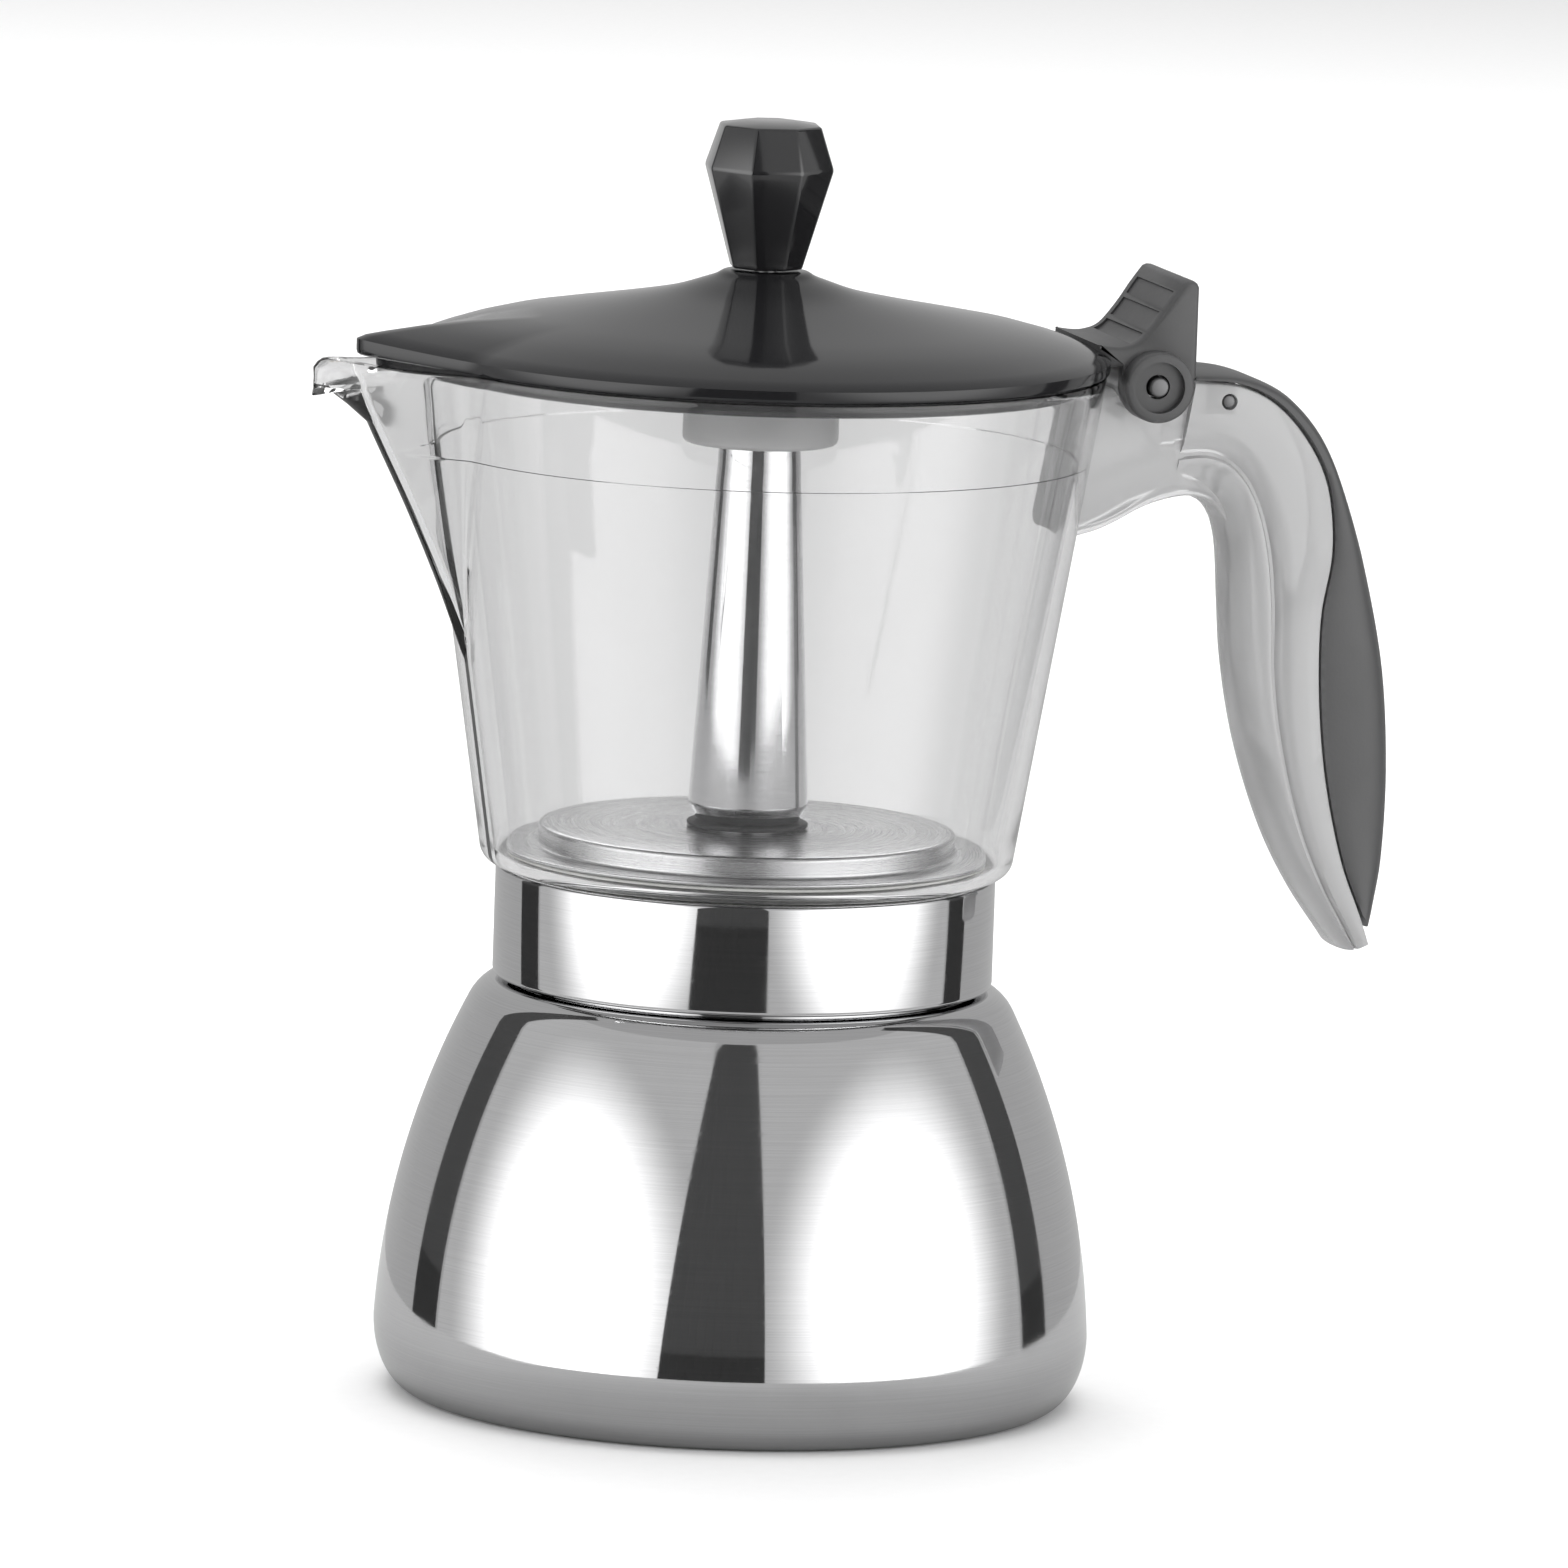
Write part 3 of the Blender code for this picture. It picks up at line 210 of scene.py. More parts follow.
class PotColours(bpy.types.PropertyGroup):
    """Colours that a user would change"""

    steel: FloatVectorProperty(
        name="Polished steel", description="Colour of the boiler, the collar and the column",
        subtype="COLOR", default=(0.66, 0.66, 0.665), min=0, max=1)
    brushed: FloatVectorProperty(
        name="Brushed steel", description="Colour of the jug's floor plate and the small steel parts",
        subtype="COLOR", default=(0.60, 0.60, 0.605), min=0, max=1)
    dark_steel: FloatVectorProperty(
        name="Dark steel", description="Colour of the hinge pin and the grip's cross pin",
        subtype="COLOR", default=(0.17, 0.17, 0.172), min=0, max=1)
    aluminium: FloatVectorProperty(
        name="Aluminium", description="Colour of the funnel and the sieve plates",
        subtype="COLOR", default=(0.74, 0.74, 0.75), min=0, max=1)
    brass: FloatVectorProperty(
        name="Brass", description="Colour of the safety valve",
        subtype="COLOR", default=(0.72, 0.53, 0.26), min=0, max=1)
    clear: FloatVectorProperty(
        name="Clear plastic", description="Colour of the jug",
        subtype="COLOR", default=(0.97, 0.97, 0.972), min=0, max=1)
    milky: FloatVectorProperty(
        name="Milky plastic", description="Colour of the grip",
        subtype="COLOR", default=(0.62, 0.62, 0.622), min=0, max=1)
    frosted: FloatVectorProperty(
        name="Frosted silicone", description="Colour of the splash guard",
        subtype="COLOR", default=(0.82, 0.82, 0.82), min=0, max=1)
    black: FloatVectorProperty(
        name="Black plastic", description="Colour of the lid and the knob",
        subtype="COLOR", default=(0.012, 0.012, 0.013), min=0, max=1)
    grey: FloatVectorProperty(
        name="Satin plastic", description="Colour of the lid's lug and the grip's insert",
        subtype="COLOR", default=(0.062, 0.062, 0.063), min=0, max=1)
    seal: FloatVectorProperty(
        name="Silicone seal", description="Colour of the gasket and the jug's seal",
        subtype="COLOR", default=(0.78, 0.78, 0.75), min=0, max=1)
    rubber: FloatVectorProperty(
        name="Rubber", description="Colour of the small black seals",
        subtype="COLOR", default=(0.022, 0.022, 0.023), min=0, max=1)
    table: FloatProperty(
        name="Table", description="Brightness of the table under the pot",
        subtype="FACTOR", default=0.93, min=0, max=1)


def sizes():
    return bpy.context.scene.moka_sizes


def colours():
    return bpy.context.scene.moka_colours


# ---- curves and meshes

def scaled(points, by=MM):
    return [tuple(value * by for value in point) for point in points]


def smooth_line(points, steps):
    """A Catmull-Rom curve through the points, which keeps both ends."""
    ends = [points[0], *points, points[-1]]
    found = []
    for a, b, c, d in zip(ends, ends[1:], ends[2:], ends[3:]):
        for i in range(steps):
            t = i / steps
            found.append(tuple(
                0.5 * (2 * q + (r - p) * t + (2 * p - 5 * q + 4 * r - s) * t * t
                       + (3 * q - p - 3 * r + s) * t ** 3)
                for p, q, r, s in zip(a, b, c, d)))
    return found + [tuple(points[-1])]


def resampled(points, count):
    """As many points, evenly spaced along the line."""
    lengths = [0.0]
    for a, b in zip(points, points[1:]):
        lengths.append(lengths[-1] + math.dist(a, b))
    found, part = [], 0
    for i in range(count):
        want = lengths[-1] * i / (count - 1)
        while part < len(points) - 2 and lengths[part + 1] < want:
            part += 1
        span = lengths[part + 1] - lengths[part]
        share = (want - lengths[part]) / span if span else 0.0
        found.append(tuple(a + (b - a) * share for a, b in zip(points[part], points[part + 1])))
    return found


def value_at(table, x):
    """Linear interpolation in a table of (x, value) pairs that rises in x."""
    if x <= table[0][0]:
        return table[0][1]
    for (x0, y0), (x1, y1) in zip(table, table[1:]):
        if x <= x1:
            return y0 + (y1 - y0) * (x - x0) / (x1 - x0)
    return table[-1][1]


def filleted(corners, steps=4):
    """A closed outline of (x, z, fillet radius), with each corner rounded by its radius."""
    found = []
    count = len(corners)
    for i, (x, z, radius) in enumerate(corners):
        here = Vector((x, z))
        before = Vector(corners[i - 1][:2]) - here
        after = Vector(corners[(i + 1) % count][:2]) - here
        if radius <= 0 or before.length < 1e-9 or after.length < 1e-9:
            found.append((x, z))
            continue
        half = before.angle(after) / 2
        reach = min(radius / math.tan(half), before.length * 0.48, after.length * 0.48)
        start, end = here + before.normalized() * reach, here + after.normalized() * reach
        for k in range(steps + 1):
            t = k / steps
            point = start * (1 - t) ** 2 + here * 2 * t * (1 - t) + end * t ** 2
            found.append((point.x, point.y))
    return found


def arc(start, end, height, count):
    """Points after start, up to end, along an arc bowed to the right by height."""
    (x0, z0), (x1, z1) = start, end
    length = math.hypot(x1 - x0, z1 - z0)
    side = ((z1 - z0) / length, -(x1 - x0) / length)
    bow = abs(height)
    radius = (length * length / 4 + bow * bow) / (2 * bow)
    half = math.asin(length / 2 / radius)
    points = []
    for i in range(1, count + 1):
        angle = half * (2 * i / count - 1)
        along = radius * math.sin(angle) + length / 2
        out = math.copysign(radius * math.cos(angle) - (radius - bow), height)
        points.append((x0 + (x1 - x0) * along / length + side[0] * out,
                       z0 + (z1 - z0) * along / length + side[1] * out))
    return points


def bridge(work, first, second):
    """Faces between two rings, either of which may be a single point."""
    count = max(len(first), len(second))
    if count == 1:
        return
    for i in range(count):
        j = (i + 1) % count
        if len(first) == 1:
            work.faces.new((first[0], second[i], second[j]))
        elif len(second) == 1:
            work.faces.new((first[i], second[0], first[j]))
        else:
            work.faces.new((first[i], second[i], second[j], first[j]))


def lathe(profile, count=None, closed=True, shift=None):
    """A profile of (radius, height) spun about Z. shift(radius, angle, height) moves a point out."""
    count = count or sizes().turns
    work = bmesh.new()
    rings = []
    for radius, height in profile:
        if radius < 1e-7:
            rings.append([work.verts.new((0, 0, height))])
            continue
        ring = []
        for i in range(count):
            angle = TAU * i / count
            reach = radius + (shift(radius, angle, height) if shift else 0.0)
            ring.append(work.verts.new((reach * math.cos(angle), reach * math.sin(angle), height)))
        rings.append(ring)
    for first, second in zip(rings, rings[1:]):
        bridge(work, first, second)
    if closed:
        bridge(work, rings[-1], rings[0])
    bmesh.ops.recalc_face_normals(work, faces=work.faces)
    return work


def loft(rings, caps=True, closed=False):
    """A skin over rings of points that all have the same count."""
    work = bmesh.new()
    made = [[work.verts.new(point) for point in ring] for ring in rings]
    for first, second in zip(made, made[1:]):
        bridge(work, first, second)
    if closed:
        bridge(work, made[-1], made[0])
    elif caps:
        work.faces.new(made[0][::-1])
        work.faces.new(made[-1])
    bmesh.ops.recalc_face_normals(work, faces=work.faces)
    return work


def as_object(name, work):
    mesh = bpy.data.meshes.new(name)
    work.to_mesh(mesh)
    work.free()
    obj = bpy.data.objects.new(name, mesh)
    bpy.context.scene.collection.objects.link(obj)
    return obj


def settle(obj):
    """Applies an object's modifiers and its place to its mesh."""
    bpy.context.view_layer.update()
    graph = bpy.context.evaluated_depsgraph_get()
    mesh = bpy.data.meshes.new_from_object(obj.evaluated_get(graph))
    mesh.transform(obj.matrix_world)
    obj.modifiers.clear()
    obj.data = mesh
    obj.matrix_world = Matrix.Identity(4)
    return obj


def combine(target, tools, operation):
    """Cuts the tools from the target, or joins them to it, and removes them."""
    for tool in tools:
        step = target.modifiers.new(tool.name, "BOOLEAN")
        step.operation = operation
        step.object = tool
    settle(target)
    for tool in tools:
        bpy.data.objects.remove(tool, do_unlink=True)
    return target


def bevelled(obj, width, segments=3, angle=35):
    step = obj.modifiers.new("edge", "BEVEL")
    step.width = width
    step.segments = segments
    step.limit_method = "ANGLE"
    step.angle_limit = math.radians(angle)
    step.harden_normals = False
    return settle(obj)


def washer(outer, bore, start, end, fillets):
    """The profile of a ring from start to end, with the fillets of its four corners in mm."""
    corners = ((outer, start), (outer, end), (bore, end), (bore, start))
    return filleted([(*corner, fillet * MM) for corner, fillet in zip(corners, fillets)])


def rod(name, radius, start, end, sides=48):
    """A solid rod between two points."""
    start, end = Vector(start), Vector(end)
    work = bmesh.new()
    bmesh.ops.create_cone(work, cap_ends=True, segments=sides, radius1=radius, radius2=radius,
                          depth=(end - start).length)
    turn = Vector((0, 0, 1)).rotation_difference(end - start).to_matrix().to_4x4()
    bmesh.ops.transform(work, matrix=Matrix.Translation((start + end) / 2) @ turn, verts=work.verts)
    return as_object(name, work)


def cross_rod(name, radius, place, reach, sides=48):
    """A rod along Y through a place given as (x, z), as long to each side as its reach."""
    x, z = place
    return rod(name, radius, (x, -reach, z), (x, reach, z), sides)


def hexagon(name, reach, levels):
    """A six-sided bar along Z, as (height, share of its reach) at each level."""
    return as_object(name, loft([
        [(reach * part * math.cos(TAU * i / 6), reach * part * math.sin(TAU * i / 6), z)
         for i in range(6)] for z, part in levels]))


def plank(name, outline, low, high):
    """An outline of (x, z) points that runs along Y from low to high."""
    return as_object(name, loft([[(x, y, z) for x, z in outline] for y in (low, high)]))


def drawn(outline, by):
    """A closed outline that runs counter-clockwise or clockwise, drawn in by a distance."""
    turn = sum(a[0] * b[1] - b[0] * a[1] for a, b in zip(outline, outline[1:] + outline[:1]))
    sign = 1 if turn > 0 else -1
    found = []
    for i, (x, z) in enumerate(outline):
        before, after = outline[i - 1], outline[(i + 1) % len(outline)]
        along = Vector((after[0] - before[0], after[1] - before[1])).normalized()
        found.append((x - along.y * by * sign, z + along.x * by * sign))
    return found


def convex(name, points):
    work = bmesh.new()
    for point in points:
        work.verts.new(point)
    made = bmesh.ops.convex_hull(work, input=work.verts)
    spare = made["geom_unused"] + made["geom_interior"]
    loose = {each for each in spare if isinstance(each, bmesh.types.BMVert)}
    bmesh.ops.delete(work, geom=list(loose), context="VERTS")
    bmesh.ops.recalc_face_normals(work, faces=work.faces)
    bmesh.ops.dissolve_limit(work, angle_limit=math.radians(0.5), verts=work.verts, edges=work.edges)
    return as_object(name, work)


def block(name, across, deep, tall):
    """A box between two values along each axis."""
    return convex(name, [(x, y, z) for x in across for y in deep for z in tall])


def fit(obj, body, look, node, sharp=32):
    """Gives a finished piece its look, and puts it on its body in place of its CAD node."""
    obj.data.materials.clear()
    obj.data.materials.append(FINISHES[look])
    obj.data.shade_smooth()
    obj.data.set_sharp_from_angle(angle=math.radians(sharp))
    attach(obj, body)
    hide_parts(node)


def turned(name, profile, body, look, node, slot=None, count=None, shift=None):
    """A closed profile spun about Z and put on its body."""
    fit(as_object(name, lathe(profile, count, shift=shift)), body, look, node)


def dress(node, look):
    """Gives a CAD node, which stays as it is, a real finish."""
    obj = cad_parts[node]
    for place in obj.material_slots:
        place.material = FINISHES[look]


# ---- shared surface effects

FINISHES = {}
EFFECTS = {}
SURFACE = ("Roughness", "Height", "Tone")


def group(name, inputs, outputs=SURFACE):
    """A new node group with float inputs as (name, default) and float outputs."""
    tree = bpy.data.node_groups.new(name, "ShaderNodeTree")
    for label, default in inputs:
        socket = tree.interface.new_socket(name=label, in_out="INPUT", socket_type="NodeSocketFloat")
        socket.default_value = default
    for label in outputs:
        tree.interface.new_socket(name=label, in_out="OUTPUT", socket_type="NodeSocketFloat")
    EFFECTS[name] = tree
    return tree, tree.nodes.new("NodeGroupInput").outputs, tree.nodes.new("NodeGroupOutput").inputs


def add(tree, kind, inputs=None, **settings):
    """A node with its settings, and its inputs by name or number as values or sockets."""
    made = tree.nodes.new(kind)
    for key, value in settings.items():
        setattr(made, key, value)
    for key, value in (inputs or {}).items():
        if isinstance(value, bpy.types.NodeSocket):
            tree.links.new(value, made.inputs[key])
        else:
            made.inputs[key].default_value = value
    return made


def maths(tree, operation, first, second=0.0, clamp=False):
    return add(tree, "ShaderNodeMath", {0: first, 1: second}, operation=operation,
               use_clamp=clamp).outputs[0]


def fade(tree, value, low, high, to_low, to_high):
    """Maps a value from one range to another, held at both ends."""
    return add(tree, "ShaderNodeMapRange", {
        "Value": value, "From Min": low, "From Max": high, "To Min": to_low, "To Max": to_high},
        clamp=True).outputs["Result"]


def noise(tree, place, scale, detail, **inputs):
    return add(tree, "ShaderNodeTexNoise", {
        "Vector": place, "Scale": scale, "Detail": detail, **inputs}).outputs["Fac"]


def object_place(tree):
    return add(tree, "ShaderNodeTexCoord").outputs["Object"]


def put_out(tree, result, roughness, height, tone):
    for name, socket in zip(SURFACE, (roughness, height, tone)):
        tree.links.new(socket, result[name])


def make_handling_marks():
    """Soft smudges, fine hairline marks and sparse dust, for anything that is touched."""
    tree, given, result = group(
        "handling_marks", [("Smudge", 0.05), ("Hairline", 0.02), ("Base", 0.08), ("Scale", 60.0)])
    place = object_place(tree)
    smudge = noise(tree, place, given["Scale"], 6.0, Roughness=0.62, Distortion=0.6)
    patches = fade(tree, smudge, 0.44, 0.72, 0.0, given["Smudge"])
    long_way = add(tree, "ShaderNodeMapping", {
        "Vector": place, "Rotation": (0.3, 0.2, 0.7), "Scale": (90.0, 2400.0, 900.0)})
    lines = noise(tree, long_way.outputs[0], 1.0, 3.0)
    hair = fade(tree, lines, 0.60, 0.70, 0.0, given["Hairline"])
    rough = maths(tree, "ADD", given["Base"], maths(tree, "ADD", patches, hair))
    put_out(tree, result, rough, hair, fade(tree, smudge, 0.3, 0.75, 1.0, 0.93))


def make_turned_grain():
    """Fine rings about the pot's axis, as a lathe or a polishing wheel leaves them."""
    tree, given, result = group("turned_grain", [("Spacing", 9000.0), ("Amount", 0.08), ("Base", 0.25)])
    axes = add(tree, "ShaderNodeSeparateXYZ", {"Vector": object_place(tree)}).outputs
    across = maths(tree, "MULTIPLY", axes["X"], axes["X"])
    deep = maths(tree, "MULTIPLY", axes["Y"], axes["Y"])
    radius = maths(tree, "SQRT", maths(tree, "ADD", across, deep))
    angle = maths(tree, "ARCTAN2", axes["Y"], axes["X"])
    turned = add(tree, "ShaderNodeCombineXYZ", {
        "X": maths(tree, "MULTIPLY", radius, given["Spacing"]),
        "Y": maths(tree, "MULTIPLY", axes["Z"], given["Spacing"]),
        "Z": maths(tree, "MULTIPLY", angle, 1.3)})
    lines = noise(tree, turned.outputs[0], 1.0, 4.0, Roughness=0.7)
    rough = maths(tree, "ADD", given["Base"], fade(tree, lines, 0.3, 0.7, 0.0, given["Amount"]))
    put_out(tree, result, rough, lines, fade(tree, lines, 0.25, 0.75, 0.86, 1.0))


def make_moulded_grain():
    """The fine skin and slow unevenness of a moulded plastic or rubber."""
    tree, given, result = group("moulded_grain", [("Scale", 1.0), ("Skin", 0.06), ("Base", 0.3)])
    place = object_place(tree)

    def per_metre(count):
        return maths(tree, "MULTIPLY", given["Scale"], count)
    fine = noise(tree, place, per_metre(2600.0), 2.0, Roughness=0.5)
    pits = add(tree, "ShaderNodeTexVoronoi", {"Vector": place, "Scale": per_metre(1500.0)})
    slow = noise(tree, place, per_metre(45.0), 3.0)
    skin = maths(tree, "ADD", fine, maths(tree, "MULTIPLY", pits.outputs["Distance"], 0.6))
    rough = maths(tree, "ADD", given["Base"], fade(tree, slow, 0.3, 0.7, 0.0, given["Skin"]))
    put_out(tree, result, rough, skin, fade(tree, slow, 0.3, 0.7, 0.9, 1.0))


def make_edge_sheen_mask():
    """A mask that is 1 on the sharp outer edges of a piece and 0 elsewhere, where a painted highlight pales
    the colour.
    """
    tree, given, result = group("edge_sheen_mask", [("Amount", 1.0)], ["Mask"])
    bend = add(tree, "ShaderNodeNewGeometry").outputs["Pointiness"]
    edge = fade(tree, bend, 0.53, 0.60, 0.0, 1.0)
    broken = fade(tree, noise(tree, object_place(tree), 900.0, 4.0), 0.4, 0.6, 0.2, 1.0)
    painted_sheen = maths(tree, "MULTIPLY", edge, broken)
    tree.links.new(maths(tree, "MULTIPLY", painted_sheen, given["Amount"], clamp=True), result["Mask"])


def start_finish(name, colour, roughness, metallic=0.0):
    """A Principled material, its tree and its shader."""
    made = bpy.data.materials.new(name)
    made.use_nodes = True
    shader = made.node_tree.nodes["Principled BSDF"]
    shader.inputs["Base Color"].default_value = (*colour, 1.0)
    shader.inputs["Roughness"].default_value = roughness
    shader.inputs["Metallic"].default_value = metallic
    made.diffuse_color = (*colour, 1.0)
    FINISHES[name] = made
    return made.node_tree, shader


def effect(tree, name, **values):
    return add(tree, "ShaderNodeGroup", values, node_tree=EFFECTS[name]).outputs


def both(tree, operation, first, second, name):
    """One output of two effects, put together."""
    return maths(tree, operation, first[name], second[name])


def toned(tree, shader, colour, tone):
    """The base colour times a tone that changes over the surface."""
    grey = add(tree, "ShaderNodeCombineColor", {0: tone, 1: tone, 2: tone})
    mixed = add(tree, "ShaderNodeMix", {"Factor": 1.0, 6: (*colour, 1.0), 7: grey.outputs[0]},
                data_type="RGBA", blend_type="MULTIPLY")
    tree.links.new(mixed.outputs[2], shader.inputs["Base Color"])
    return mixed.outputs[2]


def bumped(tree, shader, height, strength, distance):
    bump = add(tree, "ShaderNodeBump", {"Height": height, "Strength": strength, "Distance": distance})
    tree.links.new(bump.outputs["Normal"], shader.inputs["Normal"])


def metal(name, colour, base, spacing, grain, bump):
    """A turned metal with rings of fine grain under smudges and hairlines."""
    tree, shader = start_finish(name, colour, base, 1.0)
    rings = effect(tree, "turned_grain", Spacing=spacing, Amount=grain, Base=base)
    marks = effect(tree, "handling_marks", Smudge=0.05, Hairline=0.03, Base=0.0, Scale=34.0)
    tree.links.new(both(tree, "ADD", rings, marks, "Roughness"), shader.inputs["Roughness"])
    toned(tree, shader, colour, both(tree, "MULTIPLY", rings, marks, "Tone"))
    bumped(tree, shader, both(tree, "ADD", rings, marks, "Height"), bump, 0.02 * MM)


def plastic(name, colour, base, skin, bump, scale=1.0, sheen_amount=0.0, coat=0.0):
    """A moulded plastic or rubber with its fine skin, and a painted highlight that pales its sharp edges if
    it has one.
    """
    tree, shader = start_finish(name, colour, base)
    grain = effect(tree, "moulded_grain", Scale=scale, Skin=skin, Base=base)
    marks = effect(tree, "handling_marks", Smudge=skin, Hairline=0.04, Base=0.0, Scale=55.0)
    tree.links.new(both(tree, "ADD", grain, marks, "Roughness"), shader.inputs["Roughness"])
    base_colour = toned(tree, shader, colour, grain["Tone"])
    # Painted highlight: the sharp edges are coloured paler, in patches, where light would glint on them.
    if sheen_amount:
        edges = effect(tree, "edge_sheen_mask", Amount=sheen_amount)
        painted_sheen = (*(min(1.0, c * 2.2 + 0.03) for c in colour), 1.0)
        pale = add(tree, "ShaderNodeMix", {"Factor": edges["Mask"], 6: base_colour, 7: painted_sheen},
                   data_type="RGBA")
        tree.links.new(pale.outputs[2], shader.inputs["Base Color"])
    shader.inputs["Coat Weight"].default_value = coat
    shader.inputs["Coat Roughness"].default_value = 0.05
    bumped(tree, shader, grain["Height"], bump, 0.03 * MM)
    return tree, shader


def glass(name, colour, base, transmission, bump):
    """A clear moulding. Lamps shine through it, so that what it holds is lit."""
    tree, shader = plastic(name, colour, base, 0.03, bump, 0.06)
    shader.inputs["Transmission Weight"].default_value = transmission
    shader.inputs["IOR"].default_value = 1.49
    path = add(tree, "ShaderNodeLightPath")
    clear = add(tree, "ShaderNodeBsdfTransparent", {"Color": (*colour, 1.0)})
    mix = add(tree, "ShaderNodeMixShader", {
        0: path.outputs["Is Shadow Ray"], 1: shader.outputs[0], 2: clear.outputs[0]})
    tree.links.new(mix.outputs[0], tree.nodes["Material Output"].inputs["Surface"])


def make_finishes():
    for make in (make_handling_marks, make_turned_grain, make_moulded_grain, make_edge_sheen_mask):
        make()
    tint = colours()
    # name, colour, roughness, rings in a metre, grain, bump
    metal("polished_steel", tint.steel, 0.03, 5200.0, 0.012, 0.02)
    metal("brushed_steel", tint.brushed, 0.16, 7800.0, 0.16, 0.5)
    metal("satin_steel", tint.brushed, 0.3, 6500.0, 0.12, 0.3)
    metal("dark_steel", tint.dark_steel, 0.34, 6500.0, 0.12, 0.3)
    metal("satin_aluminium", tint.aluminium, 0.3, 4200.0, 0.16, 0.4)
    metal("brass", tint.brass, 0.2, 5000.0, 0.14, 0.3)
    # name, colour, roughness, transmission, bump
    glass("clear_plastic", tint.clear, 0.01, 1.0, 0.06)
    glass("frosted_silicone", tint.frosted, 0.42, 0.55, 0.25)
    glass("milky_plastic", tint.milky, 0.1, 0.5, 0.08)
    # name, colour, roughness, skin, bump
    plastic("seal_silicone", tint.seal, 0.5, 0.1, 0.4)
    plastic("seal_rubber", tint.rubber, 0.6, 0.1, 0.5)
    plastic("gloss_black", tint.black, 0.07, 0.03, 0.03)
    plastic("knob_black", tint.black, 0.1, 0.04, 0.03, coat=0.8)
    # The lug and the grip's insert get a painted highlight on their sharp edges.
    plastic("satin_black", tint.grey, 0.36, 0.07, 0.35, sheen_amount=0.25)


# ---- boiler and valve

def thread(low, high, inward):
    """A shift that cuts the pot's thread into a wall between two heights."""
    pitch, depth = sizes().thread_pitch, sizes().thread_depth

    def shift(radius, angle, height):
        if not low <= height <= high:
            return 0.0
        ends = min(height - low, high - height) / (pitch / 2)
        phase = ((height - low) / pitch - angle / TAU) % 1.0
        tooth = 0.5 - 0.5 * math.cos(TAU * phase)
        return (-depth if inward else depth) * tooth * min(1.0, ends)
    return shift


def boiler_side(inset):
    """The boiler's side from the rim of its neck down to the middle of its base."""
    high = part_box("boiler")[1]
    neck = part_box("gasket")[1].x - (1.6 * MM if inset else 0.0)
    shoulder, side = scaled((BOILER_SHOULDER, BOILER_SIDE))
    shoulder = (shoulder[0] - inset, shoulder[1] - inset)
    side = (side[0] - inset, side[1] - inset / 2)
    belly = (high.x - inset, BOILER_BELLY * MM)
    line = [(neck, high.z - (high.z - shoulder[1]) * i / 39) for i in range(40)]
    line.append(shoulder)
    line += arc(shoulder, side, -0.35 * MM, 8)
    line += arc(side, belly, -2.6 * MM, 48)
    rise = belly[1] - inset
    base = BOILER_BASE_R * MM - inset
    for i in range(1, 15):
        angle = math.pi / 2 * i / 14
        line.append((base + (belly[0] - base) * math.cos(angle), belly[1] - rise * math.sin(angle)))
    if inset:
        return line + [(30 * MM, inset + 0.4 * MM), (0.0, inset + 0.6 * MM)]
    return line + scaled(BOILER_STEP)


def make_boiler():
    """The boiler: a deep drawn shell with a threaded neck and a shallow step under its base."""
    outer, inner = boiler_side(0.0), boiler_side(BOILER_WALL * MM)
    crest = outer[0][1]
    outer[0] = (outer[0][0] - 0.3 * MM, crest)
    inner[0] = (inner[0][0] + 0.2 * MM, crest)
    inner[1] = (inner[1][0], crest - 0.3 * MM)
    screw = thread(BOILER_THREAD_LOW * MM, crest - 0.9 * MM, True)
    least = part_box("gasket")[1].x - 0.1 * MM

    def shift(radius, angle, height):
        return screw(radius, angle, height) if radius > least else 0.0
    turned("boiler_body", outer + inner[::-1], "boiler", "polished_steel", "boiler", shift=shift)


def along_y(obj, centre_z):
    """Turns a piece made about Z so that it runs along +Y at a height."""
    turn = Matrix.Translation((0, 0, centre_z)) @ Matrix.Rotation(-math.pi / 2, 4, "X")
    obj.data.transform(turn)
    return obj


def valve_ring(name, node, look, centre, bore, fillets, count=48):
    """A ring of the valve, with its bore and the fillets of its corners in mm."""
    low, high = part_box(node)
    profile = washer((high.x - low.x) / 2, bore * MM, low.y, high.y, fillets)
    fit(along_y(as_object(name, lathe(profile, count)), centre), "boiler", look, node)


def make_valve_housing(centre):
    """The valve's hexagon, its threaded shank and the bore that holds the spring."""
    low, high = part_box("valve_body")
    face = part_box("valve_washer")[1].y + 0.3 * MM
    housing = hexagon("valve_housing", 6.4 * MM, (
        (face, 0.92), (face + 0.5 * MM, 1.0), (high.y - 0.6 * MM, 1.0), (high.y, 0.9)))
    shank_r, root_r = 4.3 * MM, 4.2 * MM

    def cut_thread(radius, angle, height):
        turn = TAU * (height / MM - angle / TAU)
        return -0.3 * MM * (0.5 - 0.5 * math.cos(turn)) if radius > root_r else 0.0
    shank = [(0, low.y), (4.0 * MM, low.y), (shank_r, low.y + 0.3 * MM), (shank_r, face + 0.4 * MM),
             (0, face + 0.4 * MM)]
    combine(housing, [as_object("valve_shank", lathe(shank, 48, False, cut_thread))], "UNION")
    seat_r, bore_r = 1.5 * MM, 2.6 * MM
    bore = [(0, low.y - MM), (seat_r, low.y - MM), (seat_r, low.y + 1.2 * MM), (bore_r, low.y + 1.3 * MM),
            (bore_r, high.y + MM), (0, high.y + MM)]
    combine(housing, [as_object("valve_bore", lathe(bore, 40, False))], "DIFFERENCE")
    bevelled(housing, 0.15 * MM, 2, 40)
    fit(along_y(housing, centre), "boiler", "brass", "valve_body")


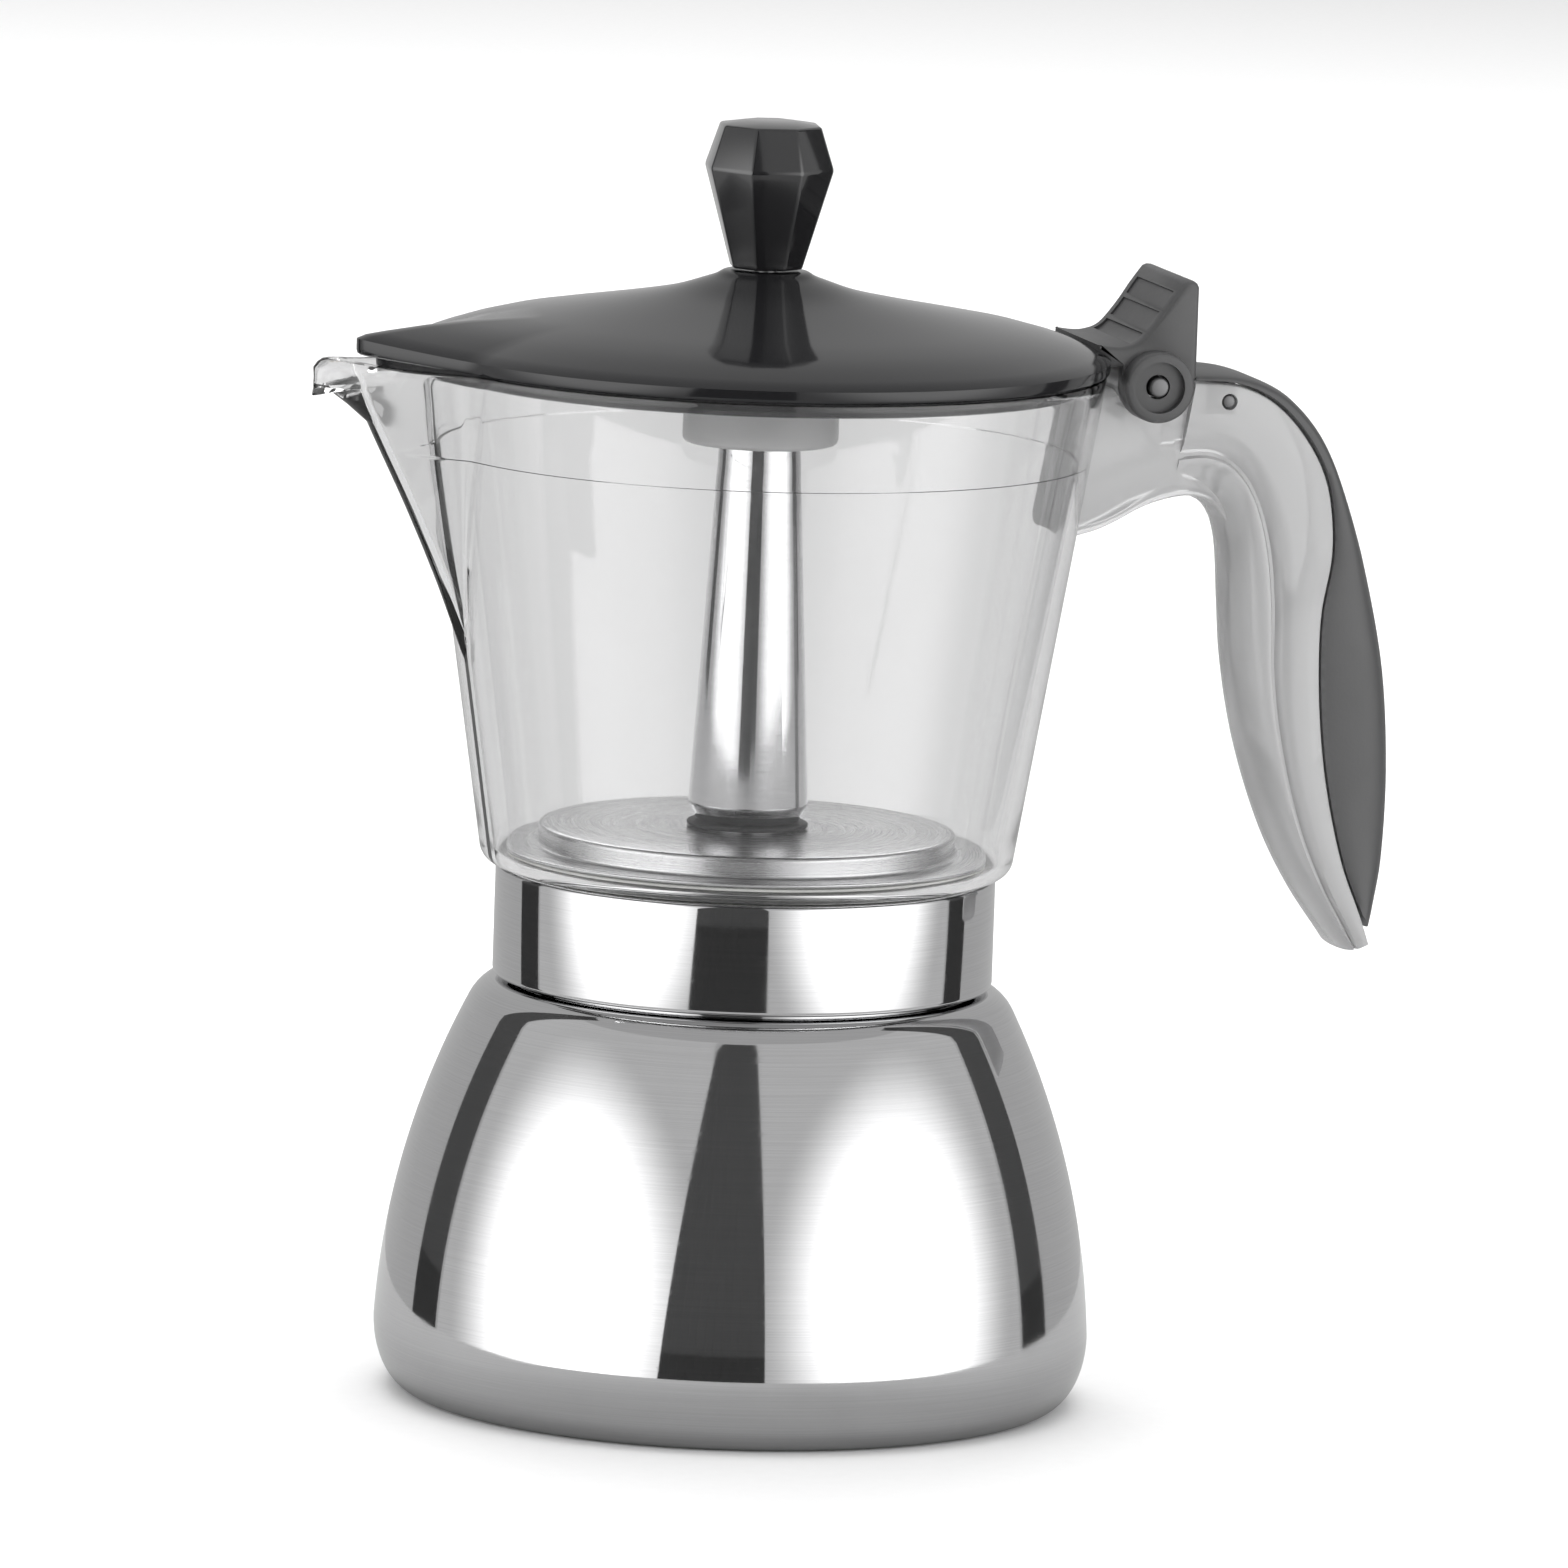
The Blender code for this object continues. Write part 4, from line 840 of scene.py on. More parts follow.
def make_valve():
    """The safety valve: its boss, its hexagonal brass body, its pierced cap and its washer."""
    low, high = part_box("valve_boss")
    centre = (low.z + high.z) / 2
    valve_ring("valve_seat_boss", "valve_boss", "satin_steel", centre, 4.6, (0.0, 0.9, 0.2, 0.0), 64)
    make_valve_housing(centre)
    valve_ring("valve_cap", "valve_retainer", "brass", centre, 1.2, (0.1, 0.5, 0.2, 0.1))
    valve_ring("valve_gasket", "valve_washer", "seal_rubber", centre, 4.6, (0.2, 0.2, 0.1, 0.1))
    dress("valve_pin", "brass")
    dress("valve_spring", "satin_steel")


# ---- funnel and filter

def sieve(name, profile, reach, body, node):
    """A turned plate pierced by rings of small holes."""
    plate = as_object(name, lathe(profile, 96, False))
    hole, spacing = sizes().hole_radius, sizes().hole_spacing
    low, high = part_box(node)
    holes = bmesh.new()
    radius = spacing
    while radius < reach:
        count = int(TAU * radius / spacing)
        for i in range(count):
            angle = TAU * i / count + radius * 70
            middle = Vector((radius * math.cos(angle), radius * math.sin(angle), (low.z + high.z) / 2))
            bmesh.ops.create_cone(
                holes, cap_ends=True, segments=8, radius1=hole, radius2=hole,
                depth=(high.z - low.z) * 2, matrix=Matrix.Translation(middle))
        radius += spacing
    combine(plate, [as_object(name + "_holes", holes)], "DIFFERENCE")
    fit(plate, body, "satin_aluminium", node)


def make_funnel():
    """The funnel that holds the coffee: its pressed basket, its stem and its sieve."""
    low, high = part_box("funnel_basket")
    plate_low, plate_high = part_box("funnel_plate")
    stem_low, stem_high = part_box("funnel_stem")
    wall = 0.8 * MM
    basket = plate_high.x + 0.3 * MM + wall
    cone = plate_low.z - 0.3 * MM
    sleeve = stem_high.x + 0.3 * MM
    sleeve_top = low.z + 5 * MM
    profile = filleted([
        (high.x, high.z, 0.35 * MM), (high.x, high.z - wall, 0.35 * MM), (basket, high.z - wall, 0.5 * MM),
        (basket, cone, 1.5 * MM), (sleeve + wall, sleeve_top, 1.5 * MM),
        (sleeve + wall, low.z, 0.2 * MM), (sleeve, low.z, 0.2 * MM), (sleeve, sleeve_top, 0.8 * MM),
        (basket - wall - 1.2 * MM, cone, 0.3 * MM), (basket - wall, cone, 0.2 * MM),
        (basket - wall, high.z, 0.6 * MM)])
    turned("coffee_funnel", profile, "funnel", "satin_aluminium", "funnel_basket", count=120)
    tube = washer(stem_high.x, stem_high.x - wall, stem_high.z, stem_low.z, (0.2, 0.2, 0.2, 0.2))
    turned("funnel_tube", tube, "funnel", "satin_aluminium", "funnel_stem", count=48)
    rim, edge = plate_high.x, 0.2 * MM
    profile = [(0, plate_high.z), (rim - edge, plate_high.z), (rim, plate_high.z - edge),
               (rim, plate_low.z + edge), (rim - edge, plate_low.z), (0, plate_low.z)]
    sieve("funnel_sieve", profile, rim - 2 * MM, "funnel", "funnel_plate")


def make_filter():
    """The upper sieve and the white gasket round it."""
    low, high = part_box("filter_plate")
    rim = high.x
    flat = rim * 0.86
    sheet = 0.8 * MM
    turn_in = rim - 0.6 * MM
    profile = [(0, high.z), (flat, high.z), (turn_in, low.z + sheet + 0.1 * MM), (rim, low.z + sheet),
               (rim, low.z), (turn_in, low.z), (flat, high.z - sheet), (0, high.z - sheet)]
    sieve("coffee_filter", profile, flat - MM, "filter", "filter_plate")
    low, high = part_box("gasket")
    profile = washer(high.x, rim + 0.3 * MM, high.z, low.z, (0.7, 0.7, 0.5, 0.5))
    turned("filter_gasket", profile, "seal", "seal_silicone", "gasket")


# ---- collar, floor plate and column

def make_collar():
    """The polished collar that screws onto the neck, with its inner web."""
    low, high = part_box("collar")
    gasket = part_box("gasket")[1]
    under_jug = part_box("jug")[0].z - 0.3 * MM
    neck, seat = gasket.x + 0.3 * MM, gasket.z + 0.3 * MM
    step, sheet, bore = COLLAR_STEP_R * MM, 2.0 * MM, WEB_BORE_R * MM
    corners = filleted([
        (step, under_jug, 0.3 * MM), (high.x, under_jug, 0.7 * MM), (high.x, low.z, 0.7 * MM),
        (neck, low.z, 0.4 * MM)])
    wall = [(neck, low.z + (seat - low.z) * i / 40) for i in range(1, 41)]
    rest = filleted([
        (neck, seat, 0.0), (step - sheet, seat, 0.4 * MM), (step - sheet, high.z - sheet, 0.4 * MM),
        (bore, high.z - sheet, 0.1 * MM), (bore, high.z, 0.1 * MM), (step, high.z, 0.4 * MM),
        (step, under_jug, 0.0)])
    screw = thread(low.z + 1.0 * MM, seat - 0.8 * MM, False)

    def shift(radius, angle, height):
        return screw(radius, angle, height) if abs(radius - neck) < 0.01 * MM else 0.0
    turned("screw_collar", corners + wall + rest[1:-1], "upper", "polished_steel", "collar", shift=shift)


def make_floor_plate():
    """The stepped steel plate in the bottom of the jug, and the seal under it."""
    low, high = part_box("base_plate")
    flange, step, sheet, bore = high.x, PLATE_STEP_R * MM, 0.7 * MM, WEB_BORE_R * MM
    profile = filleted([
        (bore, high.z, 0.1 * MM), (step, high.z, 0.7 * MM), (step, low.z + sheet, 0.5 * MM),
        (flange, low.z + sheet, 0.3 * MM), (flange, low.z, 0.3 * MM), (step - sheet, low.z, 0.4 * MM),
        (step - sheet, high.z - sheet, 0.4 * MM), (bore, high.z - sheet, 0.1 * MM)])
    turned("floor_plate", profile, "upper", "brushed_steel", "base_plate", slot="satin_steel")
    low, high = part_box("jug_seal")
    profile = washer(high.x, SEAL_BORE_R * MM, high.z, low.z, (0.2, 0.2, 0.2, 0.2))
    turned("floor_seal", profile, "upper", "seal_silicone", "jug_seal")


def make_column():
    """The tapered column that the coffee rises through, with its seal and its nut."""
    low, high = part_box("column")
    seal_low, seal_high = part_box("column_seal")
    foot, top = high.x, high.z
    seat = seal_high.z + 0.3 * MM
    cap = top - 1.2 * MM
    stem, bore = 5.0 * MM, 3.4 * MM
    profile = filleted([
        (0, top, 0.0), (COLUMN_TIP_R * MM, top, 1.2 * MM), (foot, seat + 2.4 * MM, 0.9 * MM),
        (foot - 1.3 * MM, seat, 0.3 * MM), (stem, seat, 0.2 * MM), (stem, low.z, 0.3 * MM),
        (bore, low.z, 0.2 * MM), (bore, cap, 0.4 * MM), (0, cap, 0.0)], 6)
    column = as_object("coffee_column", lathe(profile, 96, False))
    outlet = cross_rod("outlet_drill", 1.6 * MM, (0, top - 4.0 * MM), foot, 32)
    combine(column, [outlet], "DIFFERENCE")
    fit(column, "upper", "polished_steel", "column")
    profile = washer(seal_high.x, 5.4 * MM, seal_high.z, seal_low.z, (0.25, 0.25, 0.1, 0.1))
    turned("column_foot_seal", profile, "upper", "seal_rubber", "column_seal", count=72)
    low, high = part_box("column_nut")
    chamfer = 0.5 * MM
    nut = hexagon("column_lock_nut", high.x, (
        (low.z, 0.9), (low.z + chamfer, 1.0), (high.z - chamfer, 1.0), (high.z, 0.9)))
    hole = rod("nut_bore", WEB_BORE_R * MM, (0, 0, low.z - MM), (0, 0, high.z + MM))
    combine(nut, [hole], "DIFFERENCE")
    fit(nut, "upper", "satin_steel", "column_nut")


# ---- jug

def plan(radius, half, reach, nose_r, wall_count, panel_count, nose_count):
    """(x, y) round a wall with a V-shaped spout towards -X. It starts where the spout leaves the wall."""
    corner = Vector((-math.sqrt(radius ** 2 - half ** 2), half))
    middle = Vector((-(reach - nose_r), 0.0))
    away = corner - middle
    turn = math.atan2(away.y, away.x) + math.acos(min(1.0, nose_r / away.length))
    touch = middle + Vector((math.cos(turn), math.sin(turn))) * nose_r
    near = [corner.lerp(touch, i / panel_count) for i in range(panel_count)]
    nose = []
    for i in range(nose_count + 1):
        angle = turn + (TAU - 2 * turn) * i / nose_count
        nose.append(middle + Vector((math.cos(angle), math.sin(angle))) * nose_r)
    far = [Vector((p.x, -p.y)) for p in near[::-1]]
    start = math.atan2(-half, corner.x)
    sweep = 2 * (math.pi - math.atan2(half, -corner.x))
    wall = []
    for i in range(1, wall_count):
        angle = start + sweep * i / wall_count
        wall.append(Vector((radius * math.cos(angle), radius * math.sin(angle))))
    return near + nose + far + wall


def jug_radius(height):
    """The jug's outer radius at a height, in mm."""
    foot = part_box("jug")[0].z / MM
    return JUG_FOOT_R + (JUG_RIM_R - JUG_FOOT_R) * (height - foot) / JUG_HEIGHT


def make_jug():
    """The clear jug with its spout, its curled pouring lip and the ledge inside its wall."""
    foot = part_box("jug")[0].z / MM
    top = foot + JUG_HEIGHT
    apex = top - NOSE_LINE[0][0]
    line = sorted((top - drop, reach) for drop, reach in smooth_line(NOSE_LINE, 6))
    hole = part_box("base_plate")[1].x / MM - 4.0
    floor = foot + 1.0

    def ring(height, radius_inset, spout_inset, lip=(0.0, 0.0), radius=None):
        wall = (radius if radius is not None else jug_radius(height)) - radius_inset
        share = min(1.0, max(0.0, (height - apex) / (top - apex)))
        half = max(0.25, SPOUT_HALF * share - spout_inset * 0.55)
        reach = value_at(line, height) - spout_inset
        nose_r = max(0.3, min(NOSE_R, 0.75 * SPOUT_HALF * share) - spout_inset * 0.6)
        if reach < wall + 0.05 or share <= 0.0:
            reach, half, nose_r = wall + 0.02, 0.25, 0.2
        points = []
        for p in plan(wall, half, reach, nose_r, *PLAN_COUNTS):
            near = min(1.0, max(0.0, (-p.x - (reach - LIP_REACH)) / LIP_REACH))
            weight = near * near if reach > wall + 5 else 0.0
            points.append(((p.x - lip[0] * weight) * MM, p.y * MM, (height + lip[1] * weight) * MM))
        return points

    rings = [ring(foot, 0.0, 0.0, radius=hole), ring(foot, 0.0, 0.0, radius=hole + 4)]
    for i in range(7):
        angle = math.pi / 2 * i / 6
        rings.append(ring(foot + JUG_CORNER * (1 - math.cos(angle)), JUG_CORNER * (1 - math.sin(angle)), 0.0))
    heights = [foot + 6, foot + 14, foot + 22, apex - 1, apex]
    heights += [apex + (top - 8.4 - apex) * i / 22 for i in range(1, 23)]
    rings += [ring(height, 0.0, 0.0) for height in heights]
    rings += [ring(top - drop, 0.12 if drop < 0.3 else 0.0, 0.0, (out, up))
              for drop, out, up in LIP_CURL]
    above = JUG_WALL - JUG_LEDGE
    rings.append(ring(top, 0.35, 0.3, (2.5, 0.88)))
    rings.append(ring(top, above - 0.35, 1.0, (1.6, 0.88)))
    rings.append(ring(top - 0.1, above - 0.1, 1.5, (1.1, 0.7)))
    rings.append(ring(top - 0.5, above, 1.8, (0.6, 0.4)))
    ledge = top - LEDGE_DROP
    heights = [top - 2, top - 4.5, top - 7.5, top - 10, ledge + 0.25, ledge]
    rings += [ring(height, above, JUG_WALL) for height in heights]
    heights = [ledge - 0.12, *(ledge - 0.4 - (ledge - apex - 1.4) * i / 18 for i in range(19)),
               apex - 2, foot + 22, foot + 12, floor + 2.4]
    rings += [ring(height, JUG_WALL, JUG_WALL) for height in heights]
    inner = 1.8
    for i in range(1, 6):
        angle = math.pi / 2 * i / 5
        rings.append(ring(floor + inner * (1 - math.sin(angle)),
                          JUG_WALL + inner * (1 - math.cos(angle)), JUG_WALL))
    rings.append(ring(floor, 0.0, JUG_WALL, radius=hole))
    jug = as_object("clear_jug", loft(rings, closed=True))
    fit(jug, "upper", "clear_plastic", "jug", sharp=40)
# ---- grip

def sweep_between(near, far, section, count):
    """Sections of (share from near to far, y) set along two lines."""
    first, second = resampled(near, count), resampled(far, count)
    return [[(x0 + (x1 - x0) * t, y, z0 + (z1 - z0) * t) for t, y in section]
            for (x0, z0), (x1, z1) in zip(first, second)]


def centre_of(node):
    """The middle of a node's box as (x, z)."""
    low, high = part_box(node)
    return (low.x + high.x) / 2, (low.z + high.z) / 2


def make_neck(half, hinge):
    """The grip's neck, which runs from the jug's wall to the top of the grip."""
    over = [*NECK_OVER, ((hinge[0] + 5.5 * MM) / MM, 147.9), (45.6, 148.0)]
    outline = smooth_line(scaled(NECK_UNDER), 5) + scaled(over)
    centre = Vector((58.0 * MM, 139.0 * MM))
    slices = []
    for part, shrink in NECK_LEVELS:
        ring = []
        for x, z in outline:
            point = Vector((x, z))
            inset = (centre - point).normalized() * shrink * 8 * MM
            slim = 1.0 - 0.5 * min(1.0, max(0.0, (x - 62 * MM) / (11 * MM)))
            ring.append((x if x < 47 * MM else point.x + inset.x * 0.4, part * half * slim,
                         point.y + inset.y))
        slices.append(ring)
    return as_object("neck_form", loft(slices))


def make_grip():
    """The milky grip with its neck and hinge knuckle."""
    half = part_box("handle")[1].y
    inner = smooth_line(scaled(GRIP_INNER), 10)
    seam = smooth_line(scaled(GRIP_SEAM), 10)
    section = [(t, y * half) for t, y in GRIP_SIDE] + [(t, -y * half) for t, y in GRIP_SIDE[:0:-1]]
    grip = as_object("clear_grip", loft(sweep_between(inner, seam, section, 60)))

    hinge = centre_of("hinge_pin")
    neck = make_neck(half, hinge)
    knuckle = cross_rod("knuckle_form", 4.9 * MM, hinge, half, 64)
    bevelled(knuckle, 0.6 * MM, 3)
    combine(grip, [neck, knuckle], "UNION")

    (low_r, low_z), (high_r, high_z) = [(jug_radius(z) + 0.3, z) for z in (60.0, 160.0)]
    cone = [(0, high_z), (high_r, high_z), (low_r, low_z), (0, low_z)]
    cuts = [
        as_object("jug_clearance", lathe(scaled(cone), closed=False)),
        cross_rod("hinge_room", 1.8 * MM, hinge, 2 * half),
        cross_rod("cross_room", 1.2 * MM, centre_of("grip_pin"), 2 * half, 32),
        block("tongue_room", *scaled(((65.9, 70.3), (-2.3, 2.3), (144.1, 150.3)))),
    ]
    combine(grip, cuts, "DIFFERENCE")
    fit(grip, "upper", "milky_plastic", "handle", sharp=38)


def make_insert():
    """The satin black back of the grip, crowned across and rounded at its tip."""
    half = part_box("grip_insert")[1].y
    seam = smooth_line(scaled(INSERT_SEAM), 10)
    back = smooth_line(scaled(INSERT_BACK), 10)
    section = [(0.0, half * 0.985)]
    count = 28
    for i in range(count + 1):
        angle = math.pi * i / count
        cos, sin = math.cos(angle), math.sin(angle)
        y = math.copysign(abs(cos) ** 0.55, cos) * half
        section.append((max(0.08, sin ** 0.5), y))
    section.append((0.0, -half * 0.985))
    insert = as_object("grip_back", loft(sweep_between(seam, back, section, 90)))
    tongue = block("tongue_form", *scaled(((66.2, 70.0), (-2.0, 2.0), (144.4, 149.4))))
    combine(insert, [tongue], "UNION")
    pin = centre_of("grip_pin")
    combine(insert, [cross_rod("tongue_hole", 1.2 * MM, pin, half, 32)], "DIFFERENCE")
    fit(insert, "upper", "satin_black", "grip_insert", sharp=40)
    bar = cross_rod("grip_cross_pin", 0.9 * MM, pin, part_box("grip_pin")[1].y, 32)
    bevelled(bar, 0.15 * MM, 2)
    fit(bar, "upper", "dark_steel", "grip_pin")


# ---- lid

def lid_plan(inset):
    """The lid's plan: its round rim and the peak over the spout, in mm."""
    return plan(LID_R - inset, PEAK_HALF - inset * 0.6, PEAK_REACH - inset,
                max(0.8, PEAK_NOSE_R - inset * 0.5), *PLAN_COUNTS)


def make_dome():
    """The lid's thin domed sheet, its peak and its skirt."""
    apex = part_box("knob")[0].z / MM - 0.3
    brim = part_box("jug")[0].z / MM + JUG_HEIGHT + 0.3
    round_rim = lid_plan(0.0)
    top = smooth_line(LID_TOP, 4)
    blend_r = LID_TOP[-1][0]

    def circle(radius, drop, under=0.0):
        ring = []
        for p in round_rim:
            direction = p.normalized()
            ring.append((direction.x * radius * MM, direction.y * radius * MM, (apex - drop - under) * MM))
        return ring

    def lift(p):
        """How far the edge over the spout stands above the round rim, in mm."""
        return 1.5 * min(1.0, max(0.0, (p.length - LID_R) / (PEAK_REACH - LID_R)))

    def edge(share, drop):
        ring = []
        for p in round_rim:
            direction = p.normalized()
            radius = blend_r + (p.length - blend_r) * share
            ring.append((direction.x * radius * MM, direction.y * radius * MM,
                         (apex - drop + lift(p) * share) * MM))
        return ring

    def skirted(inset, above, lifted):
        return [(p.x * MM, p.y * MM, (brim + above + lift(full) * lifted) * MM)
                for p, full in zip(lid_plan(inset), round_rim)]

    rings = [circle(radius, drop) for radius, drop in top[1:]]
    rings += [edge(share, drop) for share, drop in LID_EDGE[1:]]
    rings += [skirted(*level) for level in LID_SKIRT]
    rings += [circle(radius, drop, LID_SHEET) for radius, drop in ((40.0, 8.2), *reversed(top[1:-1]))]
    rings += [circle(LID_TOP[0][0], 0.0, under) for under in (LID_SHEET, 0.0)]
    lid = as_object("lid_dome", loft(rings, closed=True))
    fit(lid, "lid", "gloss_black", "lid", sharp=30)


def make_lug():
    """The hollow thumb lug behind the lid, with its two hinge bosses."""
    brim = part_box("jug")[0].z / MM + JUG_HEIGHT + 0.3
    hx, hz = (value / MM for value in centre_of("hinge_pin"))
    hinge = (hx * MM, hz * MM)
    curve = smooth_line([(hx + x, hz + z) for x, z in LUG_CURVE], 5)
    tip = [(hx + x, hz + z) for x, z in LUG_TIP]
    outline = curve + tip + [(LUG_FRONT, hz + 0.4), (LUG_FRONT, brim + 0.4),
                             (hx + LUG_CURVE[0][0], brim + 0.4)]
    slices = []
    for part, drawn_in in LUG_LEVELS:
        slices.append([(x * MM, part * LUG_HALF * MM, z * MM) for x, z in drawn(outline, drawn_in)])
    lug = as_object("thumb_lug", loft(slices))
    reach = (LUG_HALF + 2.4) * MM
    boss = cross_rod("boss_form", 5.2 * MM, hinge, reach, 64)
    bevelled(boss, 0.5 * MM, 3)
    combine(lug, [boss], "UNION")

    inside = (LUG_HALF - 1.6) * MM
    roof = [(x + 1.35, z - 1.35) for x, z in curve[8:]]
    floor = hz - 4
    hollow = [(LUG_FRONT, floor), (LUG_FRONT, roof[0][1]), *roof, (hx + 9, roof[-1][1]), (hx + 9, floor)]
    cuts = [
        plank("lug_hollow", scaled(hollow), -inside, inside),
        cross_rod("boss_gap", 5.5 * MM, hinge, inside, 64),
        cross_rod("pin_hole", 1.8 * MM, hinge, 2 * reach, 40),
    ]
    for side in (-1, 1):
        cuts.append(rod("recess_%d" % side, 3.75 * MM, (hinge[0], side * (reach - 1.2 * MM), hinge[1]),
                        (hinge[0], side * (reach + MM), hinge[1]), 56))
    wide = (LUG_HALF - 2.0) * MM
    for start in (13, 18, 23):
        strip = curve[start:start + 5]
        pocket = [(x, z - 0.45) for x, z in strip] + [(x - 1.6, z + 1.6) for x, z in reversed(strip)]
        cuts.append(plank("thumb_pocket_%d" % start, scaled(pocket), -wide, wide))
    combine(lug, cuts, "DIFFERENCE")
    fit(lug, "lid", "satin_black", "lid", sharp=35)


def make_lid():
    """The gloss black lid, the hollow thumb lug at its hinge, and the hinge pin."""
    make_dome()
    make_lug()
    hx, hz = (value / MM for value in centre_of("hinge_pin"))
    pin = cross_rod("lid_hinge_pin", 1.5 * MM, (hx * MM, hz * MM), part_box("hinge_pin")[1].y)
    bevelled(pin, 0.4 * MM, 3)
    fit(pin, "lid", "dark_steel", "hinge_pin", sharp=50)


def make_knob():
    """The eight-sided knob."""
    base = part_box("knob")[0].z
    points = []
    for radius, up in KNOB_LEVELS:
        for i in range(8):
            angle = math.radians(KNOB_TURN) + TAU * (i + 0.5) / 8
            points.append((radius * MM * math.cos(angle), radius * MM * math.sin(angle), base + up * MM))
    knob = convex("lid_knob", points)
    bevelled(knob, sizes().knob_edge, 4, 10)
    hole = rod("knob_bore", 1.8 * MM, (0, 0, base - MM), (0, 0, base + 10.3 * MM))
    combine(knob, [hole], "DIFFERENCE")
    fit(knob, "lid", "knob_black", "knob", sharp=25)


def make_guard():
    """The frosted splash guard under the lid and the screw that holds it."""
    low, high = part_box("splash_guard")
    rim = high.x
    inner = rim - 1.2 * MM
    cup = low.z + 20 * MM
    inside = cup - 1.8 * MM
    stem, bore = 4.5 * MM, 1.8 * MM
    profile = filleted([
        (stem, high.z, 0.2 * MM), (stem, cup, 0.6 * MM), (rim, cup, 3.0 * MM), (rim, low.z, 1.1 * MM),
        (inner - 0.9 * MM, low.z, 0.4 * MM), (inner, low.z + 1.6 * MM, 0.5 * MM),
        (inner, inside, 1.8 * MM), (bore, inside, 0.1 * MM), (bore, high.z, 0.1 * MM)], 6)
    turned("frosted_guard", profile, "lid", "frosted_silicone", "splash_guard", count=96)
    low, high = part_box("knob_screw")
    head, shaft, socket = high.x, 1.5 * MM, 0.4 * MM
    under = low.z + 1.6 * MM
    profile = filleted([
        (0, low.z + 0.5 * MM, 0.0), (socket, low.z + 0.5 * MM, 0.0), (socket, low.z, 0.0),
        (head, low.z, 0.7 * MM), (head, under, 0.1 * MM), (shaft, under, 0.1 * MM),
        (shaft, high.z, 0.3 * MM), (0, high.z, 0.0)])
    screw = as_object("guard_screw", lathe(profile, 48, False))
    slot = block("screw_slot", (-0.5 * MM, 0.5 * MM), (-2 * head, 2 * head), (low.z - MM, low.z + 0.6 * MM))
    combine(screw, [slot], "DIFFERENCE")
    fit(screw, "lid", "satin_steel", "knob_screw")


# ---- stage

def toward(turn, distance, z):
    """A place round the pot, by a direction counted from the camera in degrees."""
    angle = math.radians(turn) - CAMERA_TURN
    return (distance * math.sin(angle), -distance * math.cos(angle), z)


def make_camera():
    turn_cos, turn_sin = math.cos(CAMERA_TURN), math.sin(CAMERA_TURN)
    level_right = Vector((turn_cos, -turn_sin, 0))
    away = Vector((turn_sin, turn_cos, 0))
    upright = Vector((0, 0, 1))
    distance, height = CAMERA_PLACE
    yaw, pitch, roll = CAMERA_AIM
    forward = (level_right * math.sin(yaw) * math.cos(pitch) + away * math.cos(yaw) * math.cos(pitch)
               - upright * math.sin(pitch))
    right = forward.cross(upright).normalized()
    up = right.cross(forward)
    rolled = right * math.cos(roll) + up * math.sin(roll)
    raised = up * math.cos(roll) - right * math.sin(roll)
    data = bpy.data.cameras.new("camera")
    data.sensor_width = 36.0
    data.lens = CAMERA_LENS
    data.clip_start, data.clip_end = 0.05, 50.0
    camera = bpy.data.objects.new("camera", data)
    bpy.context.scene.collection.objects.link(camera)
    place = Matrix((rolled, raised, -forward)).transposed().to_4x4()
    place.translation = (upright * height - away * distance) * MM
    camera.matrix_world = place
    bpy.context.scene.camera = camera


def mirror_only(tree, path):
    """1 for what a mirror sees. A ray through clear plastic counts as glossy too, so it is taken off."""
    return maths(tree, "SUBTRACT", path["Is Glossy Ray"], path["Is Transmission Ray"], clamp=True)


def empty_finish(name):
    made = bpy.data.materials.new(name)
    made.use_nodes = True
    made.node_tree.nodes.clear()
    return made, made.node_tree


def surfaced(tree, shader):
    end = add(tree, "ShaderNodeOutputMaterial")
    tree.links.new(shader.outputs[0], end.inputs["Surface"])


def stage_finish(name, seen, mirrored, through):
    """A plain matt finish with its own brightness to the eye, in mirrors and through clear plastic."""
    made, tree = empty_finish(name)
    path = add(tree, "ShaderNodeLightPath").outputs
    paper = noise(tree, object_place(tree), 420.0, 4.0)
    tone = fade(tree, paper, 0.3, 0.7, 0.985, 1.0)
    level = maths(tree, "ADD", seen, maths(tree, "MULTIPLY", mirror_only(tree, path), mirrored - seen))
    behind = maths(tree, "MULTIPLY", path["Is Transmission Ray"], through - seen)
    level = maths(tree, "MULTIPLY", maths(tree, "ADD", level, behind), tone)
    grey = add(tree, "ShaderNodeCombineColor", {0: level, 1: level, 2: level})
    surfaced(tree, add(tree, "ShaderNodeBsdfDiffuse", {"Color": grey.outputs[0]}))
    return made


def softbox_finish(name, centre, core):
    """A lamp's cloth, bright in its middle and falling off softly."""
    made, tree = empty_finish(name)
    moved = add(tree, "ShaderNodeVectorMath", {0: object_place(tree), 1: centre}, operation="SUBTRACT")
    axes = add(tree, "ShaderNodeSeparateXYZ", {"Vector": moved.outputs[0]}).outputs
    flat = maths(tree, "SQRT", maths(tree, "ADD", maths(tree, "POWER", axes["X"], 2.0),
                                     maths(tree, "POWER", axes["Y"], 2.0)))
    wide = maths(tree, "POWER", maths(tree, "DIVIDE", flat, SOFTBOX_HALF[0]), 2.0)
    tall = maths(tree, "POWER", maths(tree, "DIVIDE", axes["Z"], SOFTBOX_HALF[1]), 2.0)
    far = maths(tree, "SQRT", maths(tree, "ADD", wide, tall))
    falloff = add(tree, "ShaderNodeMapRange", {
        "Value": far, "From Min": 0.35, "From Max": 1.0, "To Min": core, "To Max": SOFTBOX_EDGE},
        interpolation_type="SMOOTHSTEP")
    surfaced(tree, add(tree, "ShaderNodeEmission", {"Strength": falloff.outputs["Result"]}))
    return made


